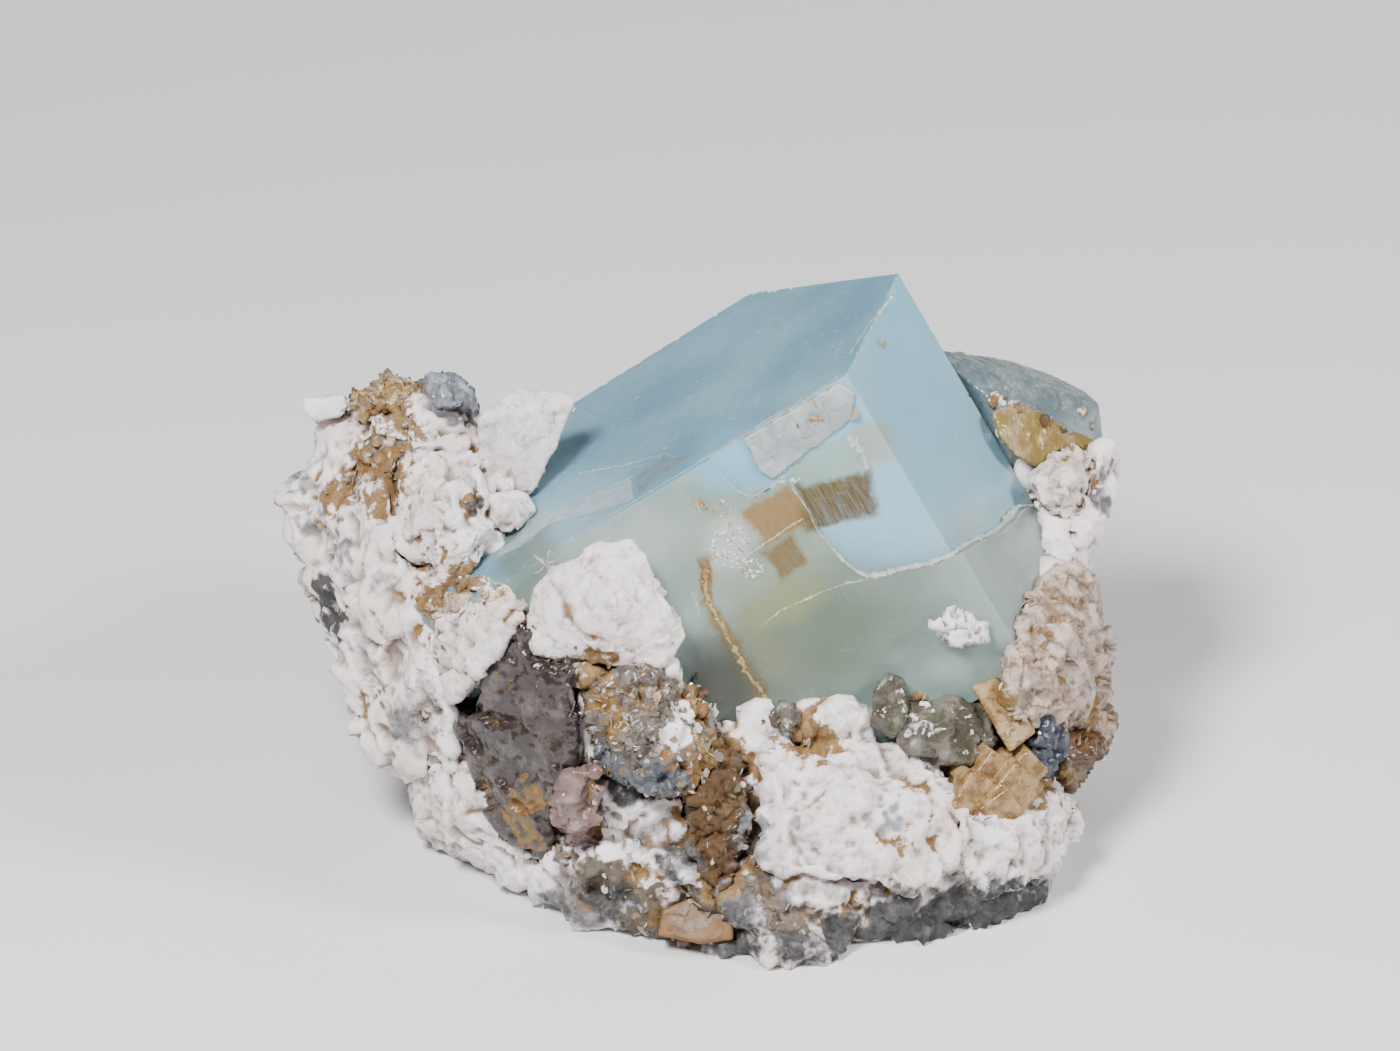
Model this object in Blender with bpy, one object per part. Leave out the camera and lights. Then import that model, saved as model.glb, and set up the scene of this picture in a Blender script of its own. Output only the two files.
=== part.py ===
"""Aquamarine crystal on its pegmatite matrix, a loose specimen about 100 mm wide.

A stout hexagonal beryl leans to the left in a lump of feldspar, quartz and mica. Each mineral
grain that can be told apart is its own closed solid, and the matrix is cut away round all of
them. The specimen rests on the flat of its underside at z = 0.

Corners are written as (right, up, depth) in millimetres on a drawing plane that looks down on
the specimen by LOOK_DOWN: right and up lie in that plane, and depth is how far behind the
front-most point of the foot a corner stands. seen() turns them into the specimen's own frame.
"""

import math

import bmesh
import bpy
from mathutils import Matrix, Vector, noise

MM = 0.001

# Driving sizes
LOOK_DOWN = math.radians(27)
FRONT_Y = -40 * MM  # the front-most point of the foot
GAP = 0.32 * MM  # clearance between neighbouring grains
FLAT_Z = 0.0  # the flat that the specimen rests on

# The beryl: a prism whose first side is the short one that climbs to the right
CORNER = Vector((17.4, -10.0, 64.0)) * MM  # upper front corner of the basal face
LEAN = math.radians(29.8)  # how far the crystal axis leans from upright
LEAN_HEADING = math.radians(168.2)  # the side it leans to, counted from +X
FIRST_SIDE_TURN = math.radians(77.5)
SIDE_FRONT_RIGHT = 27 * MM
SIDE_RIGHT = 29 * MM
SIDE_BACK = 35 * MM
SIDE_BACK_LEFT = 40 * MM
FRONT_SKEW = math.radians(4)  # how far the front side is turned from a true 120 degrees
PRISM_LENGTH = 43 * MM
PRISM_FOOT_Z = 8 * MM
FOOT_STEP = 1.0 * MM  # how far the later growth round the foot stands out

# Surface breakage: length of a facet and how far facets rise or sink
FELDSPAR_FACET, FELDSPAR_RELIEF = 4.7 * MM, 0.7 * MM
QUARTZ_FACET, QUARTZ_RELIEF = 5.0 * MM, 0.5 * MM
MICA_FACET, MICA_RELIEF = 3.2 * MM, 0.9 * MM
ROCK_FACET, ROCK_RELIEF = 7.8 * MM, 1.8 * MM
LEVEL, ROCK_LEVEL = math.radians(1), math.radians(4)  # facets that meet flatter than this are joined


# ---------------------------------------------------------------- frame and mesh helpers


def seen(right, up, depth):
    """A corner given on the drawing plane, in the specimen's own frame."""
    drop = up - depth * math.sin(LOOK_DOWN)
    return Vector((right * MM, FRONT_Y + depth * MM, drop / math.cos(LOOK_DOWN) * MM))


def clear_scene():
    for thing in list(bpy.data.objects):
        bpy.data.objects.remove(thing, do_unlink=True)


def finish(name, colour, roughness, transmission=0.0, ior=1.5):
    """A mineral's own surface."""
    surface = bpy.data.materials.new(name)
    surface.use_nodes = True
    shader = surface.node_tree.nodes["Principled BSDF"]
    shader.inputs["Base Color"].default_value = (*colour, 1.0)
    shader.inputs["Roughness"].default_value = roughness
    shader.inputs["Metallic"].default_value = 0.0
    shader.inputs["Transmission Weight"].default_value = transmission
    shader.inputs["IOR"].default_value = ior
    surface.diffuse_color = (*colour, 1.0)
    return surface


def hull(corners):
    """The closed convex shape over some corners."""
    shape = bmesh.new()
    for corner in corners:
        shape.verts.new(corner)
    made = bmesh.ops.convex_hull(shape, input=shape.verts)
    spare = {item for item in made["geom_interior"] if isinstance(item, bmesh.types.BMVert)}
    spare.update(vert for vert in shape.verts if not vert.link_faces)
    bmesh.ops.delete(shape, geom=list(spare), context="VERTS")
    bmesh.ops.recalc_face_normals(shape, faces=shape.faces)
    return shape


def broken(shape, facet, relief, seed):
    """Split a shape's faces into facets and wear their corners away by up to relief."""
    limit = max(edge.calc_length() for edge in shape.edges)
    while limit > facet * 1.35:
        limit = max(limit * 0.7, facet * 1.35)
        long_edges = [edge for edge in shape.edges if edge.calc_length() > limit]
        bmesh.ops.subdivide_edges(shape, edges=long_edges, cuts=1)
        bmesh.ops.triangulate(shape, faces=shape.faces)
    shape.normal_update()
    offset = Vector((seed * 7.31, seed * 3.17, seed * 5.73))
    moved = []
    for vert in shape.verts:
        place = vert.co / (facet * 2.2) + offset
        loss = 0.45 - 0.8 * noise.noise(place) - 0.5 * noise.noise(place * 2.7)
        moved.append(vert.co - vert.normal * relief * min(max(loss, 0.0), 1.0))
    for vert, place in zip(shape.verts, moved):
        vert.co = place
    return shape


def solid(name, shape, surface=None):
    """Put a shape into the scene as one object."""
    mesh = bpy.data.meshes.new(name)
    bmesh.ops.triangulate(shape, faces=shape.faces)
    shape.to_mesh(mesh)
    shape.free()
    thing = bpy.data.objects.new(name, mesh)
    bpy.context.scene.collection.objects.link(thing)
    if surface:
        mesh.materials.append(surface)
    return thing


def shape_of(thing):
    """Take an object's shape out of the scene again."""
    shape = bmesh.new()
    shape.from_mesh(thing.data)
    bpy.data.objects.remove(thing, do_unlink=True)
    return shape


def block(front, thickness, taper=0.82):
    """A grain from its front corners, repeated smaller behind them in the drawing's depth."""
    corners = [Vector(corner) for corner in front]
    middle = sum(corners, Vector()) / len(corners)
    push = Vector((0.0, 0.0, thickness))
    back = [middle + (corner - middle) * taper + push for corner in corners]
    return hull([seen(*corner) for corner in corners + back])


def boulder(centre, radii, seed, corners=46):
    """A lump: corners scattered evenly over an ellipsoid, each a little in or out."""
    places = []
    golden = math.pi * (3.0 - math.sqrt(5.0))
    for index in range(corners):
        height = 1.0 - 2.0 * (index + 0.5) / corners
        ring = math.sqrt(1.0 - height * height)
        turn = golden * index + seed
        way = Vector((ring * math.cos(turn), ring * math.sin(turn), height))
        reach = 1.0 + 0.13 * noise.noise(way * 2.3 + Vector((seed, seed, seed)))
        places.append(Vector(way[axis] * radii[axis] * reach + centre[axis] for axis in range(3)) * MM)
    return hull(places)


def combine(first, second, operation, keep=False):
    """Join a solid to another or cut the other out of it, and drop the other unless it is kept."""
    before = first.data.copy()
    for allow_self_crossing in (True, False):
        first.data = before.copy()
        tool = first.modifiers.new(operation.title(), "BOOLEAN")
        tool.operation = operation
        tool.solver = "EXACT"
        tool.use_self = allow_self_crossing
        tool.object = second
        keep_result(first)
        if closed(first):
            break
    else:
        raise RuntimeError(first.name + " did not stay closed with " + second.name)
    if not keep:
        bpy.data.objects.remove(second, do_unlink=True)
    return first


def closed(thing):
    """Whether every edge of a piece joins exactly two faces."""
    shape = bmesh.new()
    shape.from_mesh(thing.data)
    sound = len(shape.faces) > 0 and all(len(edge.link_faces) == 2 for edge in shape.edges)
    shape.free()
    return sound


def keep_result(thing):
    """Make the evaluated shape of an object its own mesh."""
    bpy.context.view_layer.update()
    evaluated = thing.evaluated_get(bpy.context.evaluated_depsgraph_get())
    mesh = bpy.data.meshes.new_from_object(evaluated)
    thing.modifiers.clear()
    thing.data = mesh


def room(name, shape, reach=GAP):
    """A cutter: a copy of a shape with every face moved out by reach. It is a guide, not a piece."""
    shape = shape.copy()
    bmesh.ops.remove_doubles(shape, verts=shape.verts, dist=0.004 * MM)
    shape.normal_update()
    places = [vert.co + vert.normal * reach * min(vert.calc_shell_factor(), 2.2) for vert in shape.verts]
    for vert, place in zip(shape.verts, places):
        vert.co = place
    cutter = solid(name + "_room", shape)
    cutter.hide_render = True
    cutter.display_type = "WIRE"
    return cutter


def reach_box(thing):
    corners = [vert.co for vert in thing.data.vertices]
    low = [min(corner[axis] for corner in corners) for axis in range(3)]
    high = [max(corner[axis] for corner in corners) for axis in range(3)]
    return low, high


def near(first, second):
    (low_a, high_a), (low_b, high_b) = reach_box(first), reach_box(second)
    return all(low_a[k] < high_b[k] + GAP and low_b[k] < high_a[k] + GAP for k in range(3))


def tidy(thing, level=LEVEL):
    """Clean up after cutting and drop loose crumbs. Returns whether the piece is one closed solid."""
    rough = thing.data
    for thin in (0.004 * MM, 0.0012 * MM):
        shape = bmesh.new()
        shape.from_mesh(rough)
        clean(shape, thin, level)
        thing.data = rough.copy()
        shape.to_mesh(thing.data)
        shape.free()
        if closed(thing):
            return True
    return False


def clean(shape, thin, flat):
    """Weld corners nearer than thin, join facets that meet flatter than flat, keep the main body."""
    bmesh.ops.remove_doubles(shape, verts=shape.verts, dist=thin)
    bmesh.ops.dissolve_degenerate(shape, edges=shape.edges, dist=thin)
    if flat:
        bmesh.ops.dissolve_limit(shape, angle_limit=flat, verts=shape.verts, edges=shape.edges)
    bmesh.ops.triangulate(shape, faces=shape.faces)
    unseen = set(shape.verts)
    islands = []
    while unseen:
        island = {unseen.pop()}
        edge_of_island = set(island)
        while edge_of_island:
            around = {e.other_vert(v) for v in edge_of_island for e in v.link_edges}
            edge_of_island = around - island
            island |= edge_of_island
        unseen -= island
        islands.append(island)
    islands.sort(key=len)
    for island in islands[:-1]:
        bmesh.ops.delete(shape, geom=list(island), context="VERTS")


# ---------------------------------------------------------------- crystals


def crystal_axes():
    """The beryl's axis and two directions across it, the first level with the drawing plane."""
    axis = Vector((
        math.sin(LEAN) * math.cos(LEAN_HEADING),
        math.sin(LEAN) * math.sin(LEAN_HEADING),
        math.cos(LEAN),
    ))
    across = Vector((0.0, 1.0, 0.0)).cross(axis).normalized()
    return axis, across, axis.cross(across)


def hexagon():
    """The six corners of the basal face. Sides meet at 120 degrees, but for the front one's skew,
    so the length of the front left side follows from the others."""
    across, along = crystal_axes()[1:]
    front_left = SIDE_FRONT_RIGHT + SIDE_RIGHT - SIDE_BACK_LEFT
    front = SIDE_RIGHT + SIDE_BACK - front_left
    front_left -= front * math.sin(FRONT_SKEW) / math.sin(math.radians(60) - FRONT_SKEW)
    corners = [CORNER.copy()]
    for index, side in enumerate((SIDE_FRONT_RIGHT, SIDE_RIGHT, SIDE_BACK, SIDE_BACK_LEFT, front_left)):
        turn = FIRST_SIDE_TURN + index * math.radians(60)
        corners.append(corners[-1] + (across * math.cos(turn) + along * math.sin(turn)) * side)
    return corners


def half_space(point, outward, size=0.3):
    """A large box whose one face passes through point and whose inside is on the outward side."""
    shape = bmesh.new()
    bmesh.ops.create_cube(shape, size=size)
    turn = outward.to_track_quat("Z", "Y").to_matrix().to_4x4()
    place = Matrix.Translation(point) @ turn @ Matrix.Translation((0.0, 0.0, size / 2))
    bmesh.ops.transform(shape, matrix=place, verts=shape.verts)
    return solid("cut", shape)


def prism(step, ends=0.0, length=PRISM_LENGTH):
    """The beryl prism, with its sides moved out by step and its ends by ends."""
    axis = crystal_axes()[0]
    top = hexagon()
    middle = sum(top, Vector()) / 6
    wide = 1.0 + step / (24 * MM)
    top = [middle + (corner - middle) * wide + axis * ends for corner in top]
    return hull(top + [corner - axis * (length + 2 * ends) for corner in top])


def stepped_prism(name, swell=0.0):
    """The prism with its later growth: a foot that stands out below a slanting ledge."""
    axis = crystal_axes()[0]
    body = solid(name, prism(swell, swell, PRISM_LENGTH - 3 * MM))
    foot = solid("foot", prism(FOOT_STEP + swell, swell))
    ledge_right = seen(40.0, 54.5, 52)
    ledge_front = seen(20.0, 45.0, 20)
    ledge_left = seen(7.0, 38.5, 18)
    ledge_way = (ledge_right - ledge_left).cross(ledge_front - ledge_left).normalized()
    if ledge_way.z < 0:
        ledge_way.negate()
    top_way = (ledge_way + axis * 0.6).normalized()
    combine(foot, half_space(ledge_left + top_way * swell, top_way), "DIFFERENCE")
    combine(body, foot, "UNION")
    floor = Vector((0.0, 0.0, PRISM_FOOT_Z - swell))
    return combine(body, half_space(floor, Vector((0.0, 0.0, -1.0))), "DIFFERENCE")


def aquamarine(surface):
    """The large prism, a shallow ledge on its basal face and the chips on its rim."""
    axis = crystal_axes()[0]
    body = stepped_prism("aquamarine")
    body.data.materials.append(surface)
    corners = hexagon()
    right, back = corners[1], corners[2]
    for share, bite, seed in ((0.70, 1.1, 1), (0.80, 0.8, 2), (0.90, 1.3, 3), (0.97, 0.9, 4)):
        place = right.lerp(back, share) + axis * 0.35 * MM
        chip = boulder(place / MM, (bite * 1.3, bite * 1.2, bite), seed, corners=14)
        combine(body, solid("chip", chip), "DIFFERENCE")

    ledge_top = [(-24.0, 49.0), (-19.0, 53.5), (-9.0, 57.5), (-3.5, 58.0), (-8.0, 55.0), (-18.0, 52.0)]
    sink = Vector(axis) * 0.9 * MM
    rim = [on_plane(right_up, corners[5], axis) for right_up in ledge_top]
    outside = [corner + axis * 3 * MM for corner in rim]
    combine(body, solid("ledge", hull([corner - sink for corner in rim] + outside)), "DIFFERENCE")
    return body


def on_plane(right_up, point, normal):
    """Where the sight line through a place on the drawing plane meets a flat face."""
    start = seen(right_up[0], right_up[1], 0)
    way = seen(right_up[0], right_up[1], 1) - start
    return start + way * ((point - start).dot(normal) / way.dot(normal))


def inset_crystal():
    """The frosted crystal let into the front prism face, a little proud of it."""
    corners = hexagon()
    axis = crystal_axes()[0]
    outward = (corners[0] - corners[5]).cross(axis).normalized()
    if outward.y > 0:
        outward.negate()
    outline = [
        (5.0, 63.5), (16.0, 70.0), (18.3, 68.6), (18.0, 65.5), (11.5, 60.8), (8.5, 58.3), (7.0, 59.3),
    ]
    front = [on_plane(right_up, corners[0], outward) + outward * 0.5 * MM for right_up in outline]
    back = [corner - outward * 4.5 * MM for corner in front]
    inset = solid("inset", hull(front + back))
    combine(inset, half_space(corners[0] - axis * 0.25 * MM, axis), "DIFFERENCE")
    return shape_of(inset)


def tabular(rim, thickness):
    """A flat-topped crystal: its top rim repeated straight below."""
    corners = [seen(*corner) for corner in rim]
    drop = Vector((1.5 * MM, -1.0 * MM, -thickness * MM))
    return hull(corners + [corner + drop for corner in corners])


# ---------------------------------------------------------------- the grains


def grains(looks):
    """Every grain beside the beryl, the foremost first: each is cut back round those before it."""
    feldspar, pale_feldspar = looks["feldspar"], looks["white_feldspar"]
    made = []

    def add(name, shape, surface, facet=0.0, relief=0.0, grown=None):
        cutter = room(name, grown, 0.0) if grown else room(name, shape)
        if facet:
            broken(shape, facet, relief, len(made) + 1)
        made.append((solid(name, shape, surface), cutter))

    def lump(name, front, thickness, surface, facet=FELDSPAR_FACET, relief=FELDSPAR_RELIEF):
        add(name, block(front, thickness), surface, facet, relief)

    add("inset_crystal", inset_crystal(), looks["frosted_beryl"])

    lump("feldspar_chip", [
        (27.5, 41, 21.5), (30, 42.5, 23), (34.5, 41, 24), (34, 39, 22.5), (30.5, 38.5, 21),
    ], 5, pale_feldspar, 2.0 * MM, 0.5 * MM)
    lump("feldspar_tooth", [
        (-26.5, 65.5, 38), (-26, 57.5, 39), (-20, 56.5, 41),
        (-15, 67.5, 46), (-15.5, 68.5, 47), (-22, 69.5, 46),
    ], 6, feldspar, 3.4 * MM, 0.3 * MM)
    lump("feldspar_knob", [
        (-26, 56.5, 35), (-24, 57, 37), (-20.5, 57, 37), (-19.5, 54.5, 35),
        (-21.5, 52, 32), (-25.5, 52, 31), (-23, 55, 31),
    ], 9, feldspar, 2.6 * MM)
    lump("feldspar_boss", [
        (-36.5, 58, 35), (-35, 61.5, 37), (-31, 62.5, 37), (-27, 61, 36), (-25, 56, 32),
        (-25, 51, 28), (-26.5, 45.5, 25), (-31, 46, 26), (-36, 50.5, 30), (-31, 56, 27),
    ], 8, feldspar, relief=0.8 * MM)
    lump("feldspar_crown", [
        (-48, 68, 48.5), (-45.5, 68.5, 49.5), (-42.5, 68.5, 49), (-42, 67, 47.5),
        (-43, 65.5, 47), (-46, 65, 47), (-47.5, 66, 47.5),
    ], 9, pale_feldspar, 2.6 * MM)
    lump("feldspar_top_block", [
        (-39.5, 65.5, 42), (-36, 66.5, 43), (-31.5, 64, 42), (-32, 62.5, 40), (-36.5, 63, 40), (-39, 63.5, 41),
    ], 9, pale_feldspar, 2.8 * MM, 0.3 * MM)
    lump("feldspar_front_block", [
        (-20.5, 41.5, 15), (-20, 45.5, 17), (-17, 48, 17), (-12, 51, 17), (-8, 51, 17), (-6, 47.5, 16),
        (-3, 43, 15), (-1.5, 39.5, 14), (-4, 36, 12), (-10.5, 35.5, 11), (-16.5, 37, 12), (-20, 37.5, 13),
        (-11, 44, 10),
    ], 11, feldspar)
    lump("feldspar_front_wedge", [
        (-32, 42, 24), (-29, 47, 24), (-23.5, 46.5, 17), (-20.5, 42, 14), (-26, 35, 15), (-30, 31.5, 19), (-26, 40, 14.5),
    ], 12, feldspar)
    lump("pink_quartz", [
        (-17.5, 19.5, 9), (-15.5, 24, 8), (-12, 24, 7), (-12, 18, 7),
        (-15, 15.5, 8), (-17.5, 17, 9), (-14.5, 20.5, 6),
    ], 8, looks["rose_quartz"], 3.0 * MM, 0.3 * MM)
    lump("smoky_quartz", [
        (-21, 41, 14), (-26, 34.5, 17), (-29, 29, 20), (-26, 24, 19), (-24, 21, 17), (-23.5, 15, 15),
        (-18.5, 13.5, 12), (-17.5, 19.5, 10), (-15, 25, 9), (-14.5, 31.5, 9), (-16, 37, 11.5),
        (-19.5, 38, 12.5), (-21.5, 28, 12),
    ], 12, looks["smoky_quartz"], QUARTZ_FACET, QUARTZ_RELIEF)
    lump("feldspar_lower_left", [
        (-35.5, 21.5, 31), (-33.5, 16, 27), (-27.5, 12, 22), (-21.5, 9, 17), (-18.5, 12, 14),
        (-23.5, 15.5, 16), (-24, 21, 18), (-27.5, 24.5, 21), (-32.5, 24.5, 26), (-29.5, 18, 19),
    ], 13, feldspar)
    lump("mica_lump", [
        (-13, 34, 10), (-9.5, 36, 11), (-5, 36, 12), (-1, 33, 13), (2.5, 29, 13), (2, 24.5, 10),
        (-1, 20, 7), (-7, 21, 6), (-12, 23, 7), (-13.5, 29.5, 8), (-6, 28, 5),
    ], 11, looks["mica"], MICA_FACET, MICA_RELIEF)
    lump("honey_block", [
        (-5, 4, 3.5), (-4.5, 7, 5), (-1, 8.5, 5.5), (4, 7.5, 4.5), (4, 3.5, 2), (0, 3, 2),
    ], 8, looks["honey"])
    slab = solid("slab", block([
        (8, 27.5, 16), (17, 27, 17.5), (21.5, 27.5, 19), (27.5, 26, 19), (31, 21.5, 15), (29.5, 20, 13),
        (31, 14, 9), (28, 9.5, 6), (23, 12.5, 6), (17.5, 10.5, 4), (7.5, 11.5, 5), (7, 20, 12), (18, 20, 9),
    ], 10))
    tab = solid("tab", block([(12, 27, 16), (14, 30, 17.5), (16.5, 31.5, 18.5), (20, 30, 19), (22, 26.5, 18.5)], 8))
    combine(slab, tab, "UNION")
    add("feldspar_slab", shape_of(slab), feldspar, FELDSPAR_FACET, FELDSPAR_RELIEF)
    lump("small_quartz", [
        (20.5, 33, 18.5), (22.5, 35.5, 20), (24.5, 34.5, 21), (25, 29, 18), (23, 27, 17), (20.5, 29, 17),
    ], 7, looks["clear_quartz"])
    lump("foot_quartz", [
        (8, 30, 14.5), (9.5, 32, 15.5), (12, 31.5, 16), (12, 29, 15), (10, 28, 14),
    ], 7, looks["clear_quartz"])
    lump("tan_block", [(32.5, 33.5, 21), (35.5, 34.5, 22.5), (40.5, 28, 21), (37, 25.5, 18)], 7, looks["tan_spar"])
    lump("dark_grain", [
        (39, 27.5, 22), (41.5, 30, 24), (43.5, 29, 27), (43.5, 24.5, 25), (41.5, 23, 21), (39.5, 24.5, 20),
    ], 7, looks["dark"], 2.2 * MM, 0.5 * MM)
    add("tan_cluster", cleavage_cubes(), looks["tan_spar"], grown=cleavage_cubes(GAP))
    lump("feldspar_right_end", [
        (29.5, 19.5, 12), (36, 21.5, 18), (41.5, 21, 21), (45.5, 19, 25), (45, 16, 22),
        (43, 12.5, 17), (40, 9.5, 13), (34, 9, 9), (30.5, 14, 9), (37, 15.5, 10),
    ], 13, feldspar)
    lump("clear_quartz", [
        (23, 27.5, 17), (24.5, 31, 19), (30, 32.5, 20.5), (34, 31, 21.5), (35.5, 27, 20),
        (33, 23.5, 16), (29, 24.5, 15), (24.5, 25.5, 15.5), (29.5, 28.5, 16),
    ], 10, looks["clear_quartz"], QUARTZ_FACET, QUARTZ_RELIEF)
    lump("brown_quartz", [
        (43, 26.5, 28), (45, 28, 33), (49.5, 28, 39), (47.5, 25.5, 36),
        (46.5, 23.5, 33), (44.5, 21, 27), (43, 23, 25), (45.5, 26, 28),
    ], 12, looks["brown_quartz"], 3.4 * MM, QUARTZ_RELIEF)
    lump("tan_quartz", [
        (38, 44, 32), (41, 46, 37), (45.5, 48.5, 43), (47.5, 45, 43), (49.5, 40, 42), (49.5, 28, 40),
        (43, 27.5, 29), (39, 28, 20.5), (36.5, 31.5, 19.5), (36.5, 38, 22.5), (43, 36.5, 24),
    ], 14, looks["tan_quartz"], FELDSPAR_FACET, 0.8 * MM)
    lump("feldspar_right_back", [
        (40, 58, 48), (42, 61, 52), (45.5, 62.5, 55), (48, 60, 56),
        (47, 55, 52), (44, 53, 47), (41, 55, 46), (44, 57.5, 46),
    ], 10, pale_feldspar, 2.6 * MM, 0.7 * MM)
    add("back_crystal", tabular([
        (28, 74, 62), (37, 73, 72), (42, 71.5, 74), (47, 69, 72), (48.5, 67.5, 68), (44.5, 64, 58), (36.5, 67, 56),
    ], 15), looks["grey_beryl"])
    lump("ochre_crystal", [
        (35, 66.5, 52), (38.5, 67.5, 55), (43, 65.5, 58), (48, 63, 60),
        (47.5, 60.5, 57), (42, 59, 52), (38, 61, 50), (36, 63.5, 50),
    ], 10, looks["ochre"], QUARTZ_FACET, 0.3 * MM)
    lump("mica_rosettes", [
        (-42, 67.5, 46), (-40.5, 68.5, 48), (-37, 70.5, 49), (-33.5, 69.5, 48),
        (-34, 66.5, 46), (-36.5, 65, 44), (-40.5, 65.5, 45), (-38, 68, 44),
    ], 8, looks["mica"], 2.2 * MM, 0.6 * MM)
    lump("grey_quartz", [
        (-33.5, 69.5, 47), (-32.5, 71, 49), (-30.5, 71, 50), (-27.5, 68.5, 48),
        (-26.5, 66.5, 46), (-28, 65.5, 45), (-32.5, 66, 45), (-30, 68.5, 44),
    ], 10, looks["grey_quartz"], 2.6 * MM, 0.6 * MM)
    lump("clay_seam", [
        (-1, 26.5, 10), (2.5, 27.5, 14), (5, 24.5, 12), (6, 17.5, 8), (4, 10, 4),
        (2, 8, 3), (-1, 12.5, 5), (-1.5, 20, 7), (2, 17.5, 5),
    ], 10, looks["clay"], MICA_FACET, MICA_RELIEF)
    return made


def cleavage_cubes(swell=0.0):
    """A stack of small cleavage blocks, each a step to the side of and behind the last."""
    stack = None
    steps = (
        (32.0, 21.0, 15.5, 4.6), (34.2, 23.6, 18.0, 4.4), (36.8, 22.0, 17.5, 5.0),
        (38.2, 24.0, 20.5, 4.0), (35.4, 19.6, 15.0, 4.0), (31.8, 18.8, 15.5, 3.4),
    )
    for index, (right, up, depth, size) in enumerate(steps):
        shape = bmesh.new()
        bmesh.ops.create_cube(shape, size=size * MM + 2 * swell)
        turn = Matrix.Rotation(0.5 + 0.11 * index, 4, "Y") @ Matrix.Rotation(0.55, 4, "Z")
        place = Matrix.Translation(seen(right, up, depth)) @ Matrix.Rotation(-0.45, 4, "X") @ turn
        bmesh.ops.transform(shape, matrix=place, verts=shape.verts)
        cube = solid("cube", shape)
        stack = combine(stack, cube, "UNION") if stack else cube
    return shape_of(stack)


# ---------------------------------------------------------------- the matrix


def matrix(surface):
    """The rock that holds every grain: lumps and broken blocks fused into one body."""
    rock = None
    lumps = (
        ((3, 2, 14), (38, 33, 20)),
        ((12, -22, 6), (22, 14, 9)),
        ((-8, -12, 17), (20, 14, 18)),
        ((-31.5, 3, 31), (14.5, 18, 21)),
        ((-34, 10, 38), (14, 13, 13)),
        ((2, 26, 20), (36, 14, 20)),
        ((34, 20, 22), (12.5, 15, 21)),
        ((39, 4, 18), (10, 16, 16)),
        ((40, 13, 27), (7.5, 10, 13)),
        ((28, -16, 8), (15, 15, 10)),
        ((-20, 22, 27), (17, 13, 14)),
        ((24, 26, 12), (20, 13, 14)),
    )
    for seed, (centre, radii) in enumerate(lumps):
        facet = ROCK_FACET * (1.6 if seed == 0 else 1.0)
        piece = solid("lump", broken(boulder(centre, radii, seed), facet, ROCK_RELIEF, seed))
        rock = combine(rock, piece, "UNION") if rock else piece
    faces = (
        ([
            (-49.5, 56.5, 46), (-48.5, 58.5, 48), (-45.5, 63, 50), (-42, 65, 48), (-36, 63, 40),
            (-35.5, 56, 34), (-36, 48.5, 31), (-42, 47.5, 35), (-48, 48.5, 42), (-49.5, 51, 44),
        ], 9),
        ([
            (-48, 48.5, 42), (-45, 41.5, 40), (-43, 36.5, 37), (-42, 31, 34), (-39.5, 24.5, 32),
            (-35.5, 21, 30), (-29, 23.5, 21), (-29, 36, 20), (-32.5, 44, 26), (-38.5, 48.5, 31),
        ], 9),
        ([
            (-24, 11, 18), (-18.5, 8, 14), (-14.5, 6, 11), (-9, 4, 8), (-4.5, 3.5, 6), (5, 2, 3),
            (8, 1.5, 2.5), (11, 0, 0), (14.5, 1, 1.5), (18, 4, 5), (18, 10, 6), (5, 11.5, 6),
            (-2.5, 14, 7), (-12, 15, 9), (-19, 14, 13),
        ], 16),
        ([
            (18, 4, 6), (23.5, 7, 11), (29, 3.5, 7), (31, 3, 7), (38, 6.5, 13), (41, 8, 17),
            (43, 12.5, 19), (36, 12.5, 14), (27.5, 11.5, 10), (20.5, 11.5, 9),
        ], 16),
        ([
            (46, 59.5, 52), (48.5, 62.5, 56), (50.5, 61.5, 58), (51, 59, 57), (49, 56, 52),
            (47, 54.5, 49), (47, 51.5, 47), (45, 50, 46), (45, 56, 48),
        ], 12),
        ([
            (-23, 39, 15.5), (-15, 38.5, 12), (-4, 37, 13.5), (3, 28, 14), (4, 15, 9), (-3, 10, 7.5),
            (-12, 10, 11), (-20, 14, 15), (-25, 25, 18), (-6, 20, 10),
        ], 9),
    )
    for seed, (front, thickness) in enumerate(faces):
        shape = broken(block(front, thickness, 0.75), ROCK_FACET * 0.75, FELDSPAR_RELIEF, 20 + seed)
        rock = combine(rock, solid("face", shape), "UNION")
    knobs = (
        ((-20, 33, 20), (12, 7, 10)),
        ((5, 37, 13), (12, 5, 9)),
        ((-37, 19, 22), (8, 9, 10)),
        ((24, 34, 18), (10, 6, 8)),
        ((38, 27, 11), (9, 9, 8)),
        ((-5, 34, 29), (10, 6, 6)),
        ((-30, 28, 8), (10, 8, 7)),
    )
    for seed, (centre, radii) in enumerate(knobs):
        rock = combine(rock, solid("knob", boulder(centre, radii, seed + 0.5, corners=17)), "UNION")
    rock.name = "matrix"
    rock.data.materials.clear()
    rock.data.materials.append(surface)
    return rock


# ---------------------------------------------------------------- build


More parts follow.
